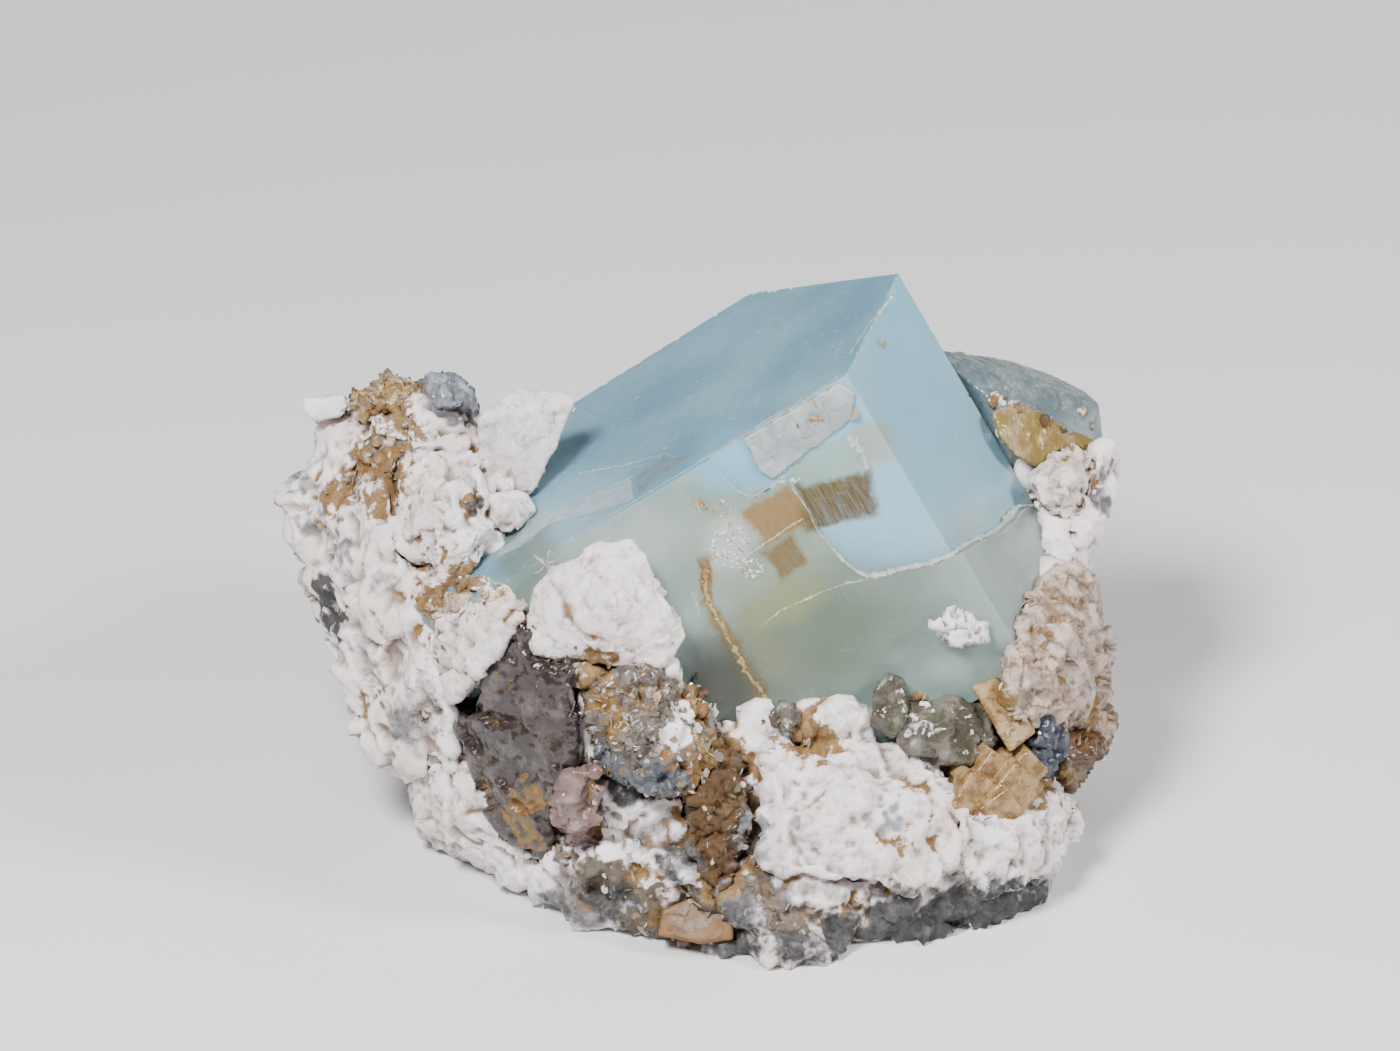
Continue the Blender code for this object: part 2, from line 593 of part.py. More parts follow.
def cut_back(piece, neighbours, floor, level):
    """Cut a piece back round its neighbours and above the floor. Where the cuts would meet in a
    sliver, the cutters are shifted by a few hundredths of a millimetre and the cut is made again."""
    whole = piece.data
    for attempt in range(8):
        piece.data = whole.copy()
        for index, neighbour in enumerate(neighbours):
            drift = Vector((math.sin(7 * index), math.sin(11 * index), math.sin(13 * index)))
            neighbour.location = drift * attempt * 0.008 * MM
            combine(piece, neighbour, "DIFFERENCE", keep=True)
            neighbour.location = (0.0, 0.0, 0.0)
        if reach_box(piece)[0][2] < floor:
            combine(piece, half_space(Vector((0.0, 0.0, floor)), Vector((0.0, 0.0, -1.0))), "DIFFERENCE")
        if tidy(piece, level):
            return
    raise RuntimeError(piece.name + " could not be cut cleanly")


def fit_together(crystal, pieces, rock):
    """Let the inset crystal into the beryl, and cut every other piece back round those before it."""
    inset, inset_room = pieces[0]
    combine(crystal, inset_room, "DIFFERENCE", keep=True)
    cutters = [stepped_prism("aquamarine_room", GAP), inset_room]
    for piece, cutter in pieces[1:]:
        cut_back(piece, [c for c in cutters if near(piece, c)], FLAT_Z + GAP, LEVEL)
        cutters.append(cutter)
    cut_back(rock, cutters, FLAT_Z, ROCK_LEVEL)
    for cutter in cutters:
        bpy.data.objects.remove(cutter, do_unlink=True)
    tidy(crystal)


def build():
    clear_scene()
    looks = {
        "aquamarine": finish("aquamarine", (0.42, 0.66, 0.74), 0.25, 0.6, 1.575),
        "frosted_beryl": finish("frosted_beryl", (0.62, 0.70, 0.68), 0.4, 0.3, 1.575),
        "grey_beryl": finish("grey_beryl", (0.42, 0.50, 0.54), 0.25, 0.5, 1.575),
        "ochre": finish("ochre", (0.62, 0.40, 0.14), 0.35, 0.3, 1.55),
        "feldspar": finish("feldspar", (0.82, 0.76, 0.75), 0.85),
        "white_feldspar": finish("white_feldspar", (0.88, 0.86, 0.85), 0.85),
        "smoky_quartz": finish("smoky_quartz", (0.34, 0.28, 0.25), 0.3),
        "rose_quartz": finish("rose_quartz", (0.66, 0.48, 0.42), 0.35),
        "clear_quartz": finish("clear_quartz", (0.52, 0.54, 0.46), 0.25, 0.3, 1.545),
        "brown_quartz": finish("brown_quartz", (0.36, 0.24, 0.15), 0.3),
        "tan_quartz": finish("tan_quartz", (0.68, 0.52, 0.40), 0.6),
        "grey_quartz": finish("grey_quartz", (0.42, 0.44, 0.50), 0.4),
        "tan_spar": finish("tan_spar", (0.66, 0.46, 0.28), 0.5),
        "honey": finish("honey", (0.70, 0.44, 0.20), 0.35),
        "mica": finish("mica", (0.50, 0.42, 0.32), 0.4),
        "clay": finish("clay", (0.40, 0.22, 0.09), 0.9),
        "dark": finish("dark", (0.05, 0.05, 0.06), 0.4),
        "rock": finish("rock", (0.66, 0.60, 0.56), 0.85),
    }
    fit_together(aquamarine(looks["aquamarine"]), grains(looks), matrix(looks["rock"]))


if __name__ == "__main__":
    build()
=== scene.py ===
"""Aquamarine crystal on its pegmatite matrix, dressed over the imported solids.

Every rock grain is remeshed finely from its solid and weathered with a geometry node tree. The beryl
is built from its own crystal planes. Places are written as (right, up) or (right, up, depth) in
millimetres on a drawing plane that looks down on the specimen by LOOK_DOWN, as the solids are.
"""

import math

import bmesh
import bpy
import numpy as np
from bpy.props import FloatProperty, FloatVectorProperty, IntProperty, PointerProperty
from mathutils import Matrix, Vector


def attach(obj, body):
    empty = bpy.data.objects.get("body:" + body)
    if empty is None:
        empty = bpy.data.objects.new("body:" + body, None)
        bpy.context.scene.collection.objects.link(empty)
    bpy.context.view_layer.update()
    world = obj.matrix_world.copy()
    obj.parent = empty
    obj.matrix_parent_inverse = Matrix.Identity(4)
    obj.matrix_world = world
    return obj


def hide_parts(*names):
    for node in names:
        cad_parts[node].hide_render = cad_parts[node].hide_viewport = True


bl_info = {
    "name": "Aquamarine on Matrix",
    "version": (1, 0, 0),
    "blender": (4, 5, 0),
    "location": "3D View > Sidebar > Specimen",
    "description": "Builds an aquamarine crystal on its pegmatite matrix",
    "category": "Add Mesh",
}

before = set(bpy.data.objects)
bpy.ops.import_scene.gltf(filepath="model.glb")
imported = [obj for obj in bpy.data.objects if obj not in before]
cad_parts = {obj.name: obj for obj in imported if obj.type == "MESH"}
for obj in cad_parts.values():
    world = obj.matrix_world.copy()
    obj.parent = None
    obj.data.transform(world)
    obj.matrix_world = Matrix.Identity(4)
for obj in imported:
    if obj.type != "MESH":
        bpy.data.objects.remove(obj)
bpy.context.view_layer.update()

MM = 0.001
LOOK_DOWN = math.radians(27)
FRONT_Y = -40 * MM
SIN, COS = math.sin(LOOK_DOWN), math.cos(LOOK_DOWN)
TOWARDS_VIEW = (0.0, -COS, SIN)
EVEN = (1.0, 1.0, 1.0)
HALF = (0.5, 0.5, 0.5)


# ---------------------------------------------------------------- settings


def length(name, value, description, low=0.0, high=1.0):
    return FloatProperty(
        name=name, description=description, default=value, min=low, max=high,
        unit="LENGTH", subtype="DISTANCE", precision=5,
    )


def number(name, value, description):
    return IntProperty(name=name, description=description, default=value, min=0)


def colour(name, value, description):
    return FloatVectorProperty(
        name=name, description=description, default=value, size=3, min=0.0, max=1.0, subtype="COLOR",
    )


class SpecimenSizes(bpy.types.PropertyGroup):
    mesh_step: length("Grain mesh step", 0.00032, "Edge length of the mesh on the loose grains", 0.0002)
    rock_step: length("Matrix mesh step", 0.00058, "Edge length of the mesh on the matrix", 0.0003)
    gap_fill: length("Gap fill", 0.0002, "How far a grain grows to meet its neighbours")
    edge_wear: length("Edge wear", 0.00022, "Width of the worn strip along the beryl's edges")
    step_height: length("Foot step", 0.0011, "How far the later growth stands out round the foot")
    flake_size: length("Flake size", 0.0014, "Width of a common mica flake")
    crumb_count: number("Crumbs", 4200, "Number of loose crumbs in the seams")
    flake_count: number("Mica flakes", 2600, "Number of mica flakes")
    floor_size: length("Floor size", 3.0, "Side of the square floor", 0.5, 20.0)
    seed: number("Seed", 3, "Start of every random choice")


class SpecimenColours(bpy.types.PropertyGroup):
    beryl: colour("Beryl", (0.38, 0.74, 0.98), "Body colour of the clear blue beryl")
    foot: colour("Beryl foot", (0.33, 0.45, 0.40), "Greenish later growth round the foot")
    feldspar: colour("Feldspar", (0.90, 0.81, 0.815), "Chalky feldspar")
    blush: colour("Blush", (0.76, 0.62, 0.57), "Pink in the feldspar")
    rust: colour("Iron stain", (0.150, 0.078, 0.018), "Iron stain in cracks and hollows")
    clay: colour("Clay", (0.06, 0.028, 0.007), "Iron-stained clay")
    smoke: colour("Smoky quartz", (0.035, 0.025, 0.022), "Smoky quartz")
    mica: colour("Mica", (0.14, 0.108, 0.075), "Mica flakes")
    honey: colour("Honey", (0.13, 0.06, 0.016), "Honey and ochre crystals")
    dark: colour("Dark mineral", (0.03, 0.035, 0.05), "Black and dark blue grains")
    floor: colour("Floor", (0.78, 0.78, 0.78), "Floor")


# ---------------------------------------------------------------- places


def seen(right, up, depth):
    """A point given on the drawing plane, in metres in the specimen's frame."""
    return Vector((right * MM, FRONT_Y + depth * MM, (up - depth * SIN) / COS * MM))


def plane_of(points):
    """Right and up, in millimetres on the drawing plane, of an array of points."""
    up = points[:, 2] * COS + (points[:, 1] - FRONT_Y) * SIN
    return np.stack((points[:, 0], up), axis=1) / MM


def points_of(mesh):
    flat = np.empty(len(mesh.vertices) * 3)
    mesh.vertices.foreach_get("co", flat)
    return flat.reshape(-1, 3)


def normals_of(mesh):
    flat = np.empty(len(mesh.vertices) * 3)
    mesh.vertex_normals.foreach_get("vector", flat)
    return flat.reshape(-1, 3)


def store(mesh, name, values):
    attribute = mesh.attributes.new(name, "FLOAT", "POINT")
    attribute.data.foreach_set("value", np.clip(values, 0.0, 1.0).astype(np.float32))


# Five sine waves each way that shake the rims of the painted spots
WAVES = np.random.default_rng(8).normal(0.0, 1300.0, (2, 5, 4))


def spotted(mesh, spots):
    """How strongly each vertex lies in a list of (right, up, radius, strength) spots on the front."""
    points = points_of(mesh)
    flat = plane_of(points)
    for axis in (0, 1):
        for wave in WAVES[axis]:
            flat[:, axis] += 0.42 * np.sin(points @ wave[:3] + wave[3])
    towards = normals_of(mesh) @ TOWARDS_VIEW
    faces = np.clip(towards * 4 + 0.6, 0.0, 1.0)
    total = np.zeros(len(flat))
    for right, up, radius, strength in spots:
        away = np.hypot(flat[:, 0] - right, flat[:, 1] - up) / radius
        total = np.maximum(total, strength * np.clip(1.5 - away * 0.9, 0.0, 1.0))
    return total * faces


# ---------------------------------------------------------------- node trees


class Graph:
    """Short calls for the nodes of a shader or geometry tree."""

    def __init__(self, tree):
        self.tree = tree

    def add(self, kind, inputs=None, **settings):
        node = self.tree.nodes.new(kind)
        for key, value in settings.items():
            setattr(node, key, value)
        for key, value in (inputs or {}).items():
            self.feed(node.inputs[key], value)
        return node

    def feed(self, socket, value):
        if isinstance(value, bpy.types.NodeSocket):
            self.tree.links.new(value, socket)
        else:
            socket.default_value = value

    def attribute(self, name):
        return self.add("ShaderNodeAttribute", attribute_name=name).outputs["Fac"]

    def math(self, operation, first, second=0.0, third=0.0, clamp=False):
        node = self.add("ShaderNodeMath", operation=operation, use_clamp=clamp)
        for socket, value in zip(node.inputs, (first, second, third)):
            self.feed(socket, value)
        return node.outputs[0]

    def vector(self, operation, *values):
        """A step of vector math, which gives a number where it measures something."""
        node = self.add("ShaderNodeVectorMath", operation=operation)
        for socket, value in zip(node.inputs, values):
            self.feed(socket, value)
        return node.outputs["Value" if operation in ("DOT_PRODUCT", "LENGTH") else "Vector"]

    def times(self, place, factor):
        return self.add("ShaderNodeVectorMath", {0: place, "Scale": factor}, operation="SCALE").outputs[0]

    def mix(self, fraction, first, second):
        node = self.add("ShaderNodeMix", data_type="RGBA", clamp_factor=True)
        for socket, value in ((0, fraction), (6, first), (7, second)):
            if isinstance(value, tuple) and len(value) == 3:
                value = (*value, 1.0)
            self.feed(node.inputs[socket], value)
        return node.outputs[2]

    def over(self, body, tone, mask, strength):
        """A tone laid over the body where a mask shows, at part of its strength."""
        return self.mix(self.math("MULTIPLY", mask, strength), body, tone)

    def band(self, value, low, high, start=0.0, end=1.0):
        """Value between low and high, taken smoothly to the range from start to end."""
        node = self.add(
            "ShaderNodeMapRange",
            {"Value": value, "From Min": low, "From Max": high, "To Min": start, "To Max": end},
            interpolation_type="SMOOTHSTEP",
        )
        return node.outputs["Result"]

    def scaled(self, place, size, stretch=EVEN):
        """A place in cells of the given size, in metres, stretched along its axes."""
        return self.vector("MULTIPLY", place, [1.0 / (size * part) for part in stretch])

    def noise(self, place, size, detail=3.0, seed=0.0, rough=0.55, stretch=EVEN, output=0):
        node = self.add(
            "ShaderNodeTexNoise",
            {"Vector": self.scaled(place, size, stretch), "W": float(seed), "Scale": 1.0,
             "Detail": detail, "Roughness": rough},
            noise_dimensions="4D",
        )
        return node.outputs[output]

    def cells(self, place, size, seed=0.0, feature="F1"):
        node = self.add(
            "ShaderNodeTexVoronoi",
            {"Vector": self.scaled(place, size), "W": float(seed), "Scale": 1.0},
            voronoi_dimensions="4D", feature=feature,
        )
        return node.outputs

    def facets(self, place, size, seed=0.0):
        """Height of flat chips that each lean their own way, and the cells they lie in."""
        sized = self.scaled(place, size)
        chips = self.cells(sized, 1.0, seed)
        offset = self.vector("SUBTRACT", sized, chips["Position"])
        lean = self.vector("SUBTRACT", chips["Color"], HALF)
        return self.vector("DOT_PRODUCT", offset, lean), chips

    def shaken(self, place, size, detail, seed, rough, amount, start):
        """Start pushed about by noise of the given size, by up to amount along each axis."""
        push = self.vector("SUBTRACT", self.noise(place, size, detail, seed, rough, output=1), HALF)
        return self.vector("MULTIPLY_ADD", push, amount, start)

    def warped(self, place, size, amount, seed=0.0):
        return self.shaken(place, size, 2.0, seed, 0.55, (amount,) * 3, place)


def inputs_of(tree, sockets):
    for name, kind, value in sockets:
        socket = tree.interface.new_socket(name, in_out="INPUT", socket_type=kind)
        if value is not None:
            socket.default_value = value


def apply_tree(thing, tree, values):
    """Run a geometry node tree on an object with the named values, and make the result its mesh."""
    tool = thing.modifiers.new(tree.name, "NODES")
    tool.node_group = tree
    sockets = {item.name: item.identifier for item in tree.interface.items_tree if item.in_out == "INPUT"}
    for name, value in values.items():
        tool[sockets[name]] = value
    settle(thing)


def settle(thing):
    """Make the evaluated shape of an object its own mesh and drop its modifiers."""
    bpy.context.view_layer.update()
    evaluated = thing.evaluated_get(bpy.context.evaluated_depsgraph_get())
    mesh = bpy.data.meshes.new_from_object(evaluated)
    thing.modifiers.clear()
    thing.data = mesh


def geometry_tree(name, sockets):
    """A geometry tree with named inputs, as a graph, and what it is given."""
    tree = bpy.data.node_groups.new(name, "GeometryNodeTree")
    inputs_of(tree, (
        ("Geometry", "NodeSocketGeometry", None), *sockets, ("Material", "NodeSocketMaterial", None),
    ))
    tree.interface.new_socket("Geometry", in_out="OUTPUT", socket_type="NodeSocketGeometry")
    graph = Graph(tree)
    return graph, graph.add("NodeGroupInput").outputs


def end_tree(graph, shape, material):
    """Make the shape real, give it its material and hand it over."""
    whole = graph.add("GeometryNodeRealizeInstances", {"Geometry": shape})
    dressed = graph.add("GeometryNodeSetMaterial", {"Geometry": whole.outputs[0], "Material": material})
    graph.feed(graph.add("NodeGroupOutput").inputs[0], dressed.outputs[0])


def weathering_tree():
    """Geometry nodes that break up a smooth stone: lumps, flat chips, cracks, pits and grain."""
    graph, given = geometry_tree("weathering", (
        ("Grow", "NodeSocketFloat", 0.0002),
        ("Lumps", "NodeSocketFloat", 0.0006),
        ("Steps", "NodeSocketFloat", 0.0003),
        ("Cracks", "NodeSocketFloat", 0.0004),
        ("Pits", "NodeSocketFloat", 0.0004),
        ("Grain", "NodeSocketFloat", 0.0003),
        ("Chip Size", "NodeSocketFloat", 0.0030),
        ("Seed", "NodeSocketFloat", 0.0),
    ))
    place = graph.add("GeometryNodeInputPosition").outputs[0]
    shift = graph.add("ShaderNodeCombineXYZ", {axis: given["Seed"] for axis in "XYZ"})
    place = graph.vector("ADD", place, shift.outputs[0])

    lumps = graph.math("SUBTRACT", graph.noise(place, 6.5 * MM, 2.0, 1, 0.5), 0.5)
    wander = graph.warped(place, 6 * MM, 2.5 * MM, 12)
    crests = graph.math("SUBTRACT", graph.noise(wander, 7.0 * MM, 3.0, 13, 0.5), 0.5)
    crests = graph.math("SUBTRACT", 0.10, graph.math("ABSOLUTE", crests))
    lumps = graph.math("MULTIPLY_ADD", crests, 1.6, lumps)
    sized = graph.times(graph.warped(place, 3 * MM, 0.9 * MM), graph.math("DIVIDE", 1.0, given["Chip Size"]))
    large = graph.facets(sized, 1.0, 2)[0]
    small = graph.facets(sized, 0.42, 3)[0]
    rough = graph.band(graph.noise(place, 7 * MM, 2.0, 11), 0.45, 0.65, 0.1, 1.4)
    steps = graph.math("MULTIPLY", small, rough)
    steps = graph.math("MULTIPLY_ADD", large, 3.4, steps)
    wander = graph.warped(place, 2.2 * MM, 1.8 * MM, 4)
    edge = graph.cells(wander, 8 * MM, 5, "DISTANCE_TO_EDGE")["Distance"]
    crack = graph.band(edge, 0.0, 0.05, 1.0, 0.0)
    broken = graph.band(graph.noise(place, 7 * MM, 1.0, 6), 0.42, 0.62)
    crack = graph.math("MULTIPLY", crack, broken)
    pit = graph.cells(graph.warped(place, 1.0 * MM, 0.7 * MM, 10), 2.0 * MM, 7)["Distance"]
    pit = graph.band(pit, 0.05, 0.30, 1.0, 0.0)
    pit = graph.math("MULTIPLY", pit, graph.band(graph.noise(place, 5 * MM, 3.0, 8, 0.65), 0.54, 0.66))
    grain = graph.math("SUBTRACT", graph.noise(place, 1.5 * MM, 5.0, 9, 0.72), 0.5)

    total = graph.math("MULTIPLY", lumps, given["Lumps"])
    total = graph.math("MULTIPLY_ADD", steps, given["Steps"], total)
    total = graph.math("MULTIPLY_ADD", grain, given["Grain"], total)
    sunk = graph.math("MULTIPLY", crack, given["Cracks"])
    sunk = graph.math("MULTIPLY_ADD", pit, given["Pits"], sunk)
    total = graph.math("SUBTRACT", total, sunk)
    total = graph.math("ADD", total, given["Grow"])
    normal = graph.add("GeometryNodeInputNormal").outputs[0]
    relieved = graph.add(
        "GeometryNodeSetPosition", {"Geometry": given["Geometry"], "Offset": graph.times(normal, total)}
    )
    here = graph.add("GeometryNodeInputPosition").outputs[0]
    low = None
    for spread, reach in ((5, 0.10 * MM), (24, 0.35 * MM)):
        blurred = graph.add("GeometryNodeBlurAttribute", {"Iterations": spread}, data_type="FLOAT_VECTOR")
        graph.feed(next(way for way in blurred.inputs if way.type == "VECTOR" and way.enabled), here)
        spot = next(way for way in blurred.outputs if way.enabled)
        dip = graph.vector("DOT_PRODUCT", graph.vector("SUBTRACT", spot, here), normal)
        dip = graph.math("DIVIDE", dip, reach)
        low = dip if low is None else graph.math("MULTIPLY_ADD", low, 0.5, dip)
    hollow = graph.math("MULTIPLY_ADD", low, 0.6, -0.12, clamp=True)
    kept = graph.add(
        "GeometryNodeStoreNamedAttribute",
        {"Geometry": relieved.outputs[0], "Name": "hollow", "Value": hollow},
        data_type="FLOAT", domain="POINT",
    )
    end_tree(graph, kept.outputs[0], given["Material"])


def chance(graph, low, high, seed):
    """A vector drawn for each point, between low and high."""
    return graph.add(
        "FunctionNodeRandomValue", {0: low, 1: high, "Seed": seed}, data_type="FLOAT_VECTOR"
    ).outputs[0]


def scatter_tree(kind):
    """Geometry nodes that set crumbs or flakes on points, each leaning and sized by chance."""
    graph, given = geometry_tree(kind + "_scatter", (
        ("Small", "NodeSocketVector", (0.0003, 0.0003, 0.0003)),
        ("Large", "NodeSocketVector", (0.0010, 0.0010, 0.0010)),
        ("Tilt", "NodeSocketFloat", 1.0),
        ("Seed", "NodeSocketInt", 0),
    ))
    if kind == "crumb":
        piece = graph.add("GeometryNodeMeshIcoSphere", {"Radius": 0.5, "Subdivisions": 1})
        place = graph.add("GeometryNodeInputPosition").outputs[0]
        push = graph.vector("SUBTRACT", graph.noise(place, 0.45, 2.0, 4, output=1), HALF)
        piece = graph.add("GeometryNodeSetPosition", {"Geometry": piece.outputs[0], "Offset": push})
    else:
        piece = graph.add("GeometryNodeMeshCylinder", {"Vertices": 6, "Radius": 0.5, "Depth": 1.0})
    lean = graph.add("GeometryNodeInputNamedAttribute", {"Name": "lean"}, data_type="FLOAT_VECTOR")
    upright = graph.add("FunctionNodeAlignRotationToVector", {"Vector": lean.outputs[0]}, axis="Z")
    back = graph.math("MULTIPLY", given["Tilt"], -1.0)
    ends = []
    for tilt, half_turn in ((back, -3.14), (given["Tilt"], 3.14)):
        ends.append(graph.add("ShaderNodeCombineXYZ", {"X": tilt, "Y": tilt, "Z": half_turn}).outputs[0])
    euler = graph.add("FunctionNodeEulerToRotation", {0: chance(graph, *ends, given["Seed"])})
    turned = graph.add(
        "FunctionNodeRotateRotation", {0: upright.outputs[0], 1: euler.outputs[0]}, rotation_space="LOCAL"
    )
    size = chance(graph, given["Small"], given["Large"], graph.math("ADD", given["Seed"], 7.0))
    swell = graph.add("GeometryNodeInputNamedAttribute", {"Name": "swell"}, data_type="FLOAT")
    spread = graph.add("GeometryNodeInstanceOnPoints", {
        "Points": given["Geometry"], "Instance": piece.outputs[0],
        "Rotation": turned.outputs[0], "Scale": graph.times(size, swell.outputs[0]),
    })
    end_tree(graph, spread.outputs[0], given["Material"])


# ---------------------------------------------------------------- shared shader effects


def shader_group(name, sockets, results):
    tree = bpy.data.node_groups.new(name, "ShaderNodeTree")
    inputs_of(tree, sockets)
    for result, kind in results:
        tree.interface.new_socket(result, in_out="OUTPUT", socket_type=kind)
    graph = Graph(tree)
    return graph, graph.add("NodeGroupInput").outputs, graph.add("NodeGroupOutput").inputs


def iron_stain_group():
    """Iron stain that fills hollows and breaks up at its rim."""
    graph, given, made = shader_group("iron_stain", (
        ("Place", "NodeSocketVector", None),
        ("Color", "NodeSocketColor", (0.8, 0.8, 0.8, 1.0)),
        ("Stain Color", "NodeSocketColor", (0.4, 0.2, 0.1, 1.0)),
        ("Wash", "NodeSocketFloat", 0.15),
    ), (("Color", "NodeSocketColor"), ("Mask", "NodeSocketFloat")))
    place, stain = given["Place"], given["Stain Color"]
    rust, hollow, seam = (graph.attribute(name) for name in ("rust", "hollow", "seam"))
    ragged = graph.noise(place, 1.2 * MM, 7.0, 21, 0.8)
    amount = graph.math("MULTIPLY_ADD", ragged, 1.9, graph.math("MULTIPLY_ADD", rust, 0.95, -0.95))
    amount = graph.math("MULTIPLY_ADD", hollow, 0.45, amount)
    dirty = graph.band(graph.noise(place, 4 * MM, 4.0, 24, 0.6), 0.35, 0.65)
    amount = graph.math("MULTIPLY_ADD", graph.math("MULTIPLY", seam, dirty), 0.45, amount)
    mask = graph.band(amount, 0.47, 0.72)
    wide = graph.band(graph.noise(place, 9 * MM, 3.0, 22), 0.48, 0.72)
    wash = graph.math("MULTIPLY", graph.math("MULTIPLY", hollow, wide), given["Wash"])
    mask = graph.math("MAXIMUM", mask, wash, clamp=True)
    deep = graph.noise(place, 0.9 * MM, 6.0, 23, 0.8)
    tone = graph.mix(graph.band(deep, 0.40, 0.75), stain, graph.times(stain, 2.6))
    graph.feed(made["Color"], graph.over(given["Color"], tone, mask, 0.96))
    graph.feed(made["Mask"], mask)


def stone_grain_group():
    """Fine broken grain of stone: height, and a tone that darkens its low spots."""
    graph, given, made = shader_group("stone_grain", (
        ("Place", "NodeSocketVector", None),
        ("Size", "NodeSocketFloat", 0.0005),
    ), (("Height", "NodeSocketFloat"), ("Tone", "NodeSocketFloat")))
    sized = graph.times(given["Place"], graph.math("DIVIDE", 1.0, given["Size"]))
    small = graph.noise(sized, 1.0, 6.0, 31, 0.72)
    fibres = graph.noise(sized, 1.0, 3.0, 32, 0.6, (3.5, 0.8, 1.2))
    height = graph.math("MULTIPLY_ADD", fibres, 0.55, small)
    graph.feed(made["Height"], height)
    graph.feed(made["Tone"], graph.band(height, 0.55, 0.95))


def glints_group():
    """Small flat grains that each lean their own way, and a mask of those that shine."""
    graph, given, made = shader_group("glints", (
        ("Place", "NodeSocketVector", None),
        ("Size", "NodeSocketFloat", 0.0005),
        ("Share", "NodeSocketFloat", 0.3),
    ), (("Height", "NodeSocketFloat"), ("Mask", "NodeSocketFloat"), ("Tone", "NodeSocketFloat")))
    sized = graph.times(given["Place"], graph.math("DIVIDE", 1.0, given["Size"]))
    slope, grains = graph.facets(sized, 1.0, 41)
    parts = graph.add("ShaderNodeSeparateColor", {0: grains["Color"]}).outputs
    graph.feed(made["Height"], slope)
    graph.feed(made["Mask"], graph.math("LESS_THAN", parts[0], given["Share"]))
    graph.feed(made["Tone"], parts[1])


LOOKS = {}


class Look(Graph):
    """A Principled material in the making, patterned on object coordinates."""

    def __init__(self, name, ior=1.53, transmission=0.0, coat=0.0, coat_roughness=0.1):
        self.material = LOOKS[name] = bpy.data.materials.new(name)
        self.material.use_nodes = True
        super().__init__(self.material.node_tree)
        self.shader = self.tree.nodes["Principled BSDF"]
        self.place = self.add("ShaderNodeTexCoord").outputs["Object"]
        for socket, value in (
            ("IOR", ior), ("Transmission Weight", transmission),
            ("Coat Weight", coat), ("Coat Roughness", coat_roughness),
        ):
            self.shader.inputs[socket].default_value = value

    def group(self, name, **values):
        node = self.add("ShaderNodeGroup", node_tree=bpy.data.node_groups[name])
        self.feed(node.inputs["Place"], self.place)
        for key, value in values.items():
            if isinstance(value, tuple):
                value = (*value, 1.0)
            self.feed(node.inputs[key.replace("_", " ")], value)
        return node.outputs

    def patches(self, size, detail, seed, rough, low, high, start=0.0, end=1.0):
        """Noise in patches of the given size, cut softly between low and high."""
        return self.band(self.noise(self.place, size, detail, seed, rough), low, high, start, end)

    def mask(self, name, size=1.2 * MM, ragged=0.8, low=0.35, high=0.6, seed=11):
        """A painted attribute whose rim is broken up by noise."""
        noise = self.math("SUBTRACT", self.noise(self.place, size, 4.0, seed, 0.65), 0.5)
        return self.band(self.math("MULTIPLY_ADD", noise, ragged, self.attribute(name)), low, high)

    def bump(self, height, distance, strength=1.0, under=None):
        node = self.add("ShaderNodeBump", {"Height": height, "Distance": distance, "Strength": strength})
        if under is not None:
            self.feed(node.inputs["Normal"], under)
        return node.outputs[0]

    def finish(self, tone, roughness, normal=None):
        self.feed(self.shader.inputs["Base Color"], tone)
        self.feed(self.shader.inputs["Roughness"], roughness)
        if normal is not None:
            self.feed(self.shader.inputs["Normal"], normal)
        return self.material

    def absorb(self, tint, density):
        """Clear body colour: light is absorbed on its way through."""
        volume = self.add("ShaderNodeVolumeAbsorption", {"Color": (*tint, 1.0), "Density": density})
        self.feed(self.tree.nodes["Material Output"].inputs["Volume"], volume.outputs[0])


def stone_look(name, pale, tint, stain, veil=(0.44, 0.41, 0.43), grain=0.55 * MM, shine=0.06, chalk=0.3):
    """Chalky stone: two body tones, greyish veils, stained cracks, a few shining grains."""
    look = Look(name)
    body = look.mix(look.patches(7 * MM, 5.0, 1, 0.6, 0.42, 0.70), pale, tint)
    body = look.mix(look.patches(4 * MM, 6.0, 2, 0.68, 0.52, 0.74), body, veil)
    smudge = look.patches(2.2 * MM, 6.0, 4, 0.75, 0.48, 0.64, 0.0, 0.85)
    body = look.mix(smudge, body, tuple(0.48 * part for part in tint))
    fine = look.group("stone_grain", Size=grain)
    body = look.over(body, (0.97, 0.95, 0.94), fine["Tone"], chalk)
    # Darker brown in the hollows: partly dirt, partly painted shade.
    body = look.over(body, (0.17, 0.125, 0.10), look.attribute("hollow"), 0.85)
    stained = look.group("iron_stain", Color=body, Stain_Color=stain, Wash=0.8)
    specks = look.noise(look.place, 0.8 * MM, 3.0, 3, 0.6)
    body = look.mix(look.band(specks, 0.68, 0.74, 0.0, 0.8), stained["Color"], (0.46, 0.30, 0.20))
    # Near black where the dark spots lie: dark grains, and painted shadow on the undersides along the bottom.
    dark_rock_and_shadow = look.mix(look.band(specks, 0.40, 0.65), (0.03, 0.031, 0.034), (0.15, 0.145, 0.14))
    body = look.mix(look.mask("dark", 1.6 * MM, 1.2, 0.3, 0.75), body, dark_rock_and_shadow)
    body = look.mix(look.mask("grey", 1.4 * MM, low=0.3, high=0.8), body, (0.26, 0.265, 0.28))
    bright = look.group("glints", Size=0.7 * MM, Share=shine)
    rough = look.math("MULTIPLY_ADD", bright["Mask"], -0.45, 0.82)
    chips = look.group("glints", Size=1.1 * MM, Share=shine)
    normal = look.bump(chips["Height"], 0.35 * MM, 0.6)
    normal = look.bump(fine["Height"], 0.30 * MM, 0.9, normal)
    normal = look.bump(bright["Height"], 0.12 * MM, 0.35, normal)
    return look.finish(body, rough, normal)


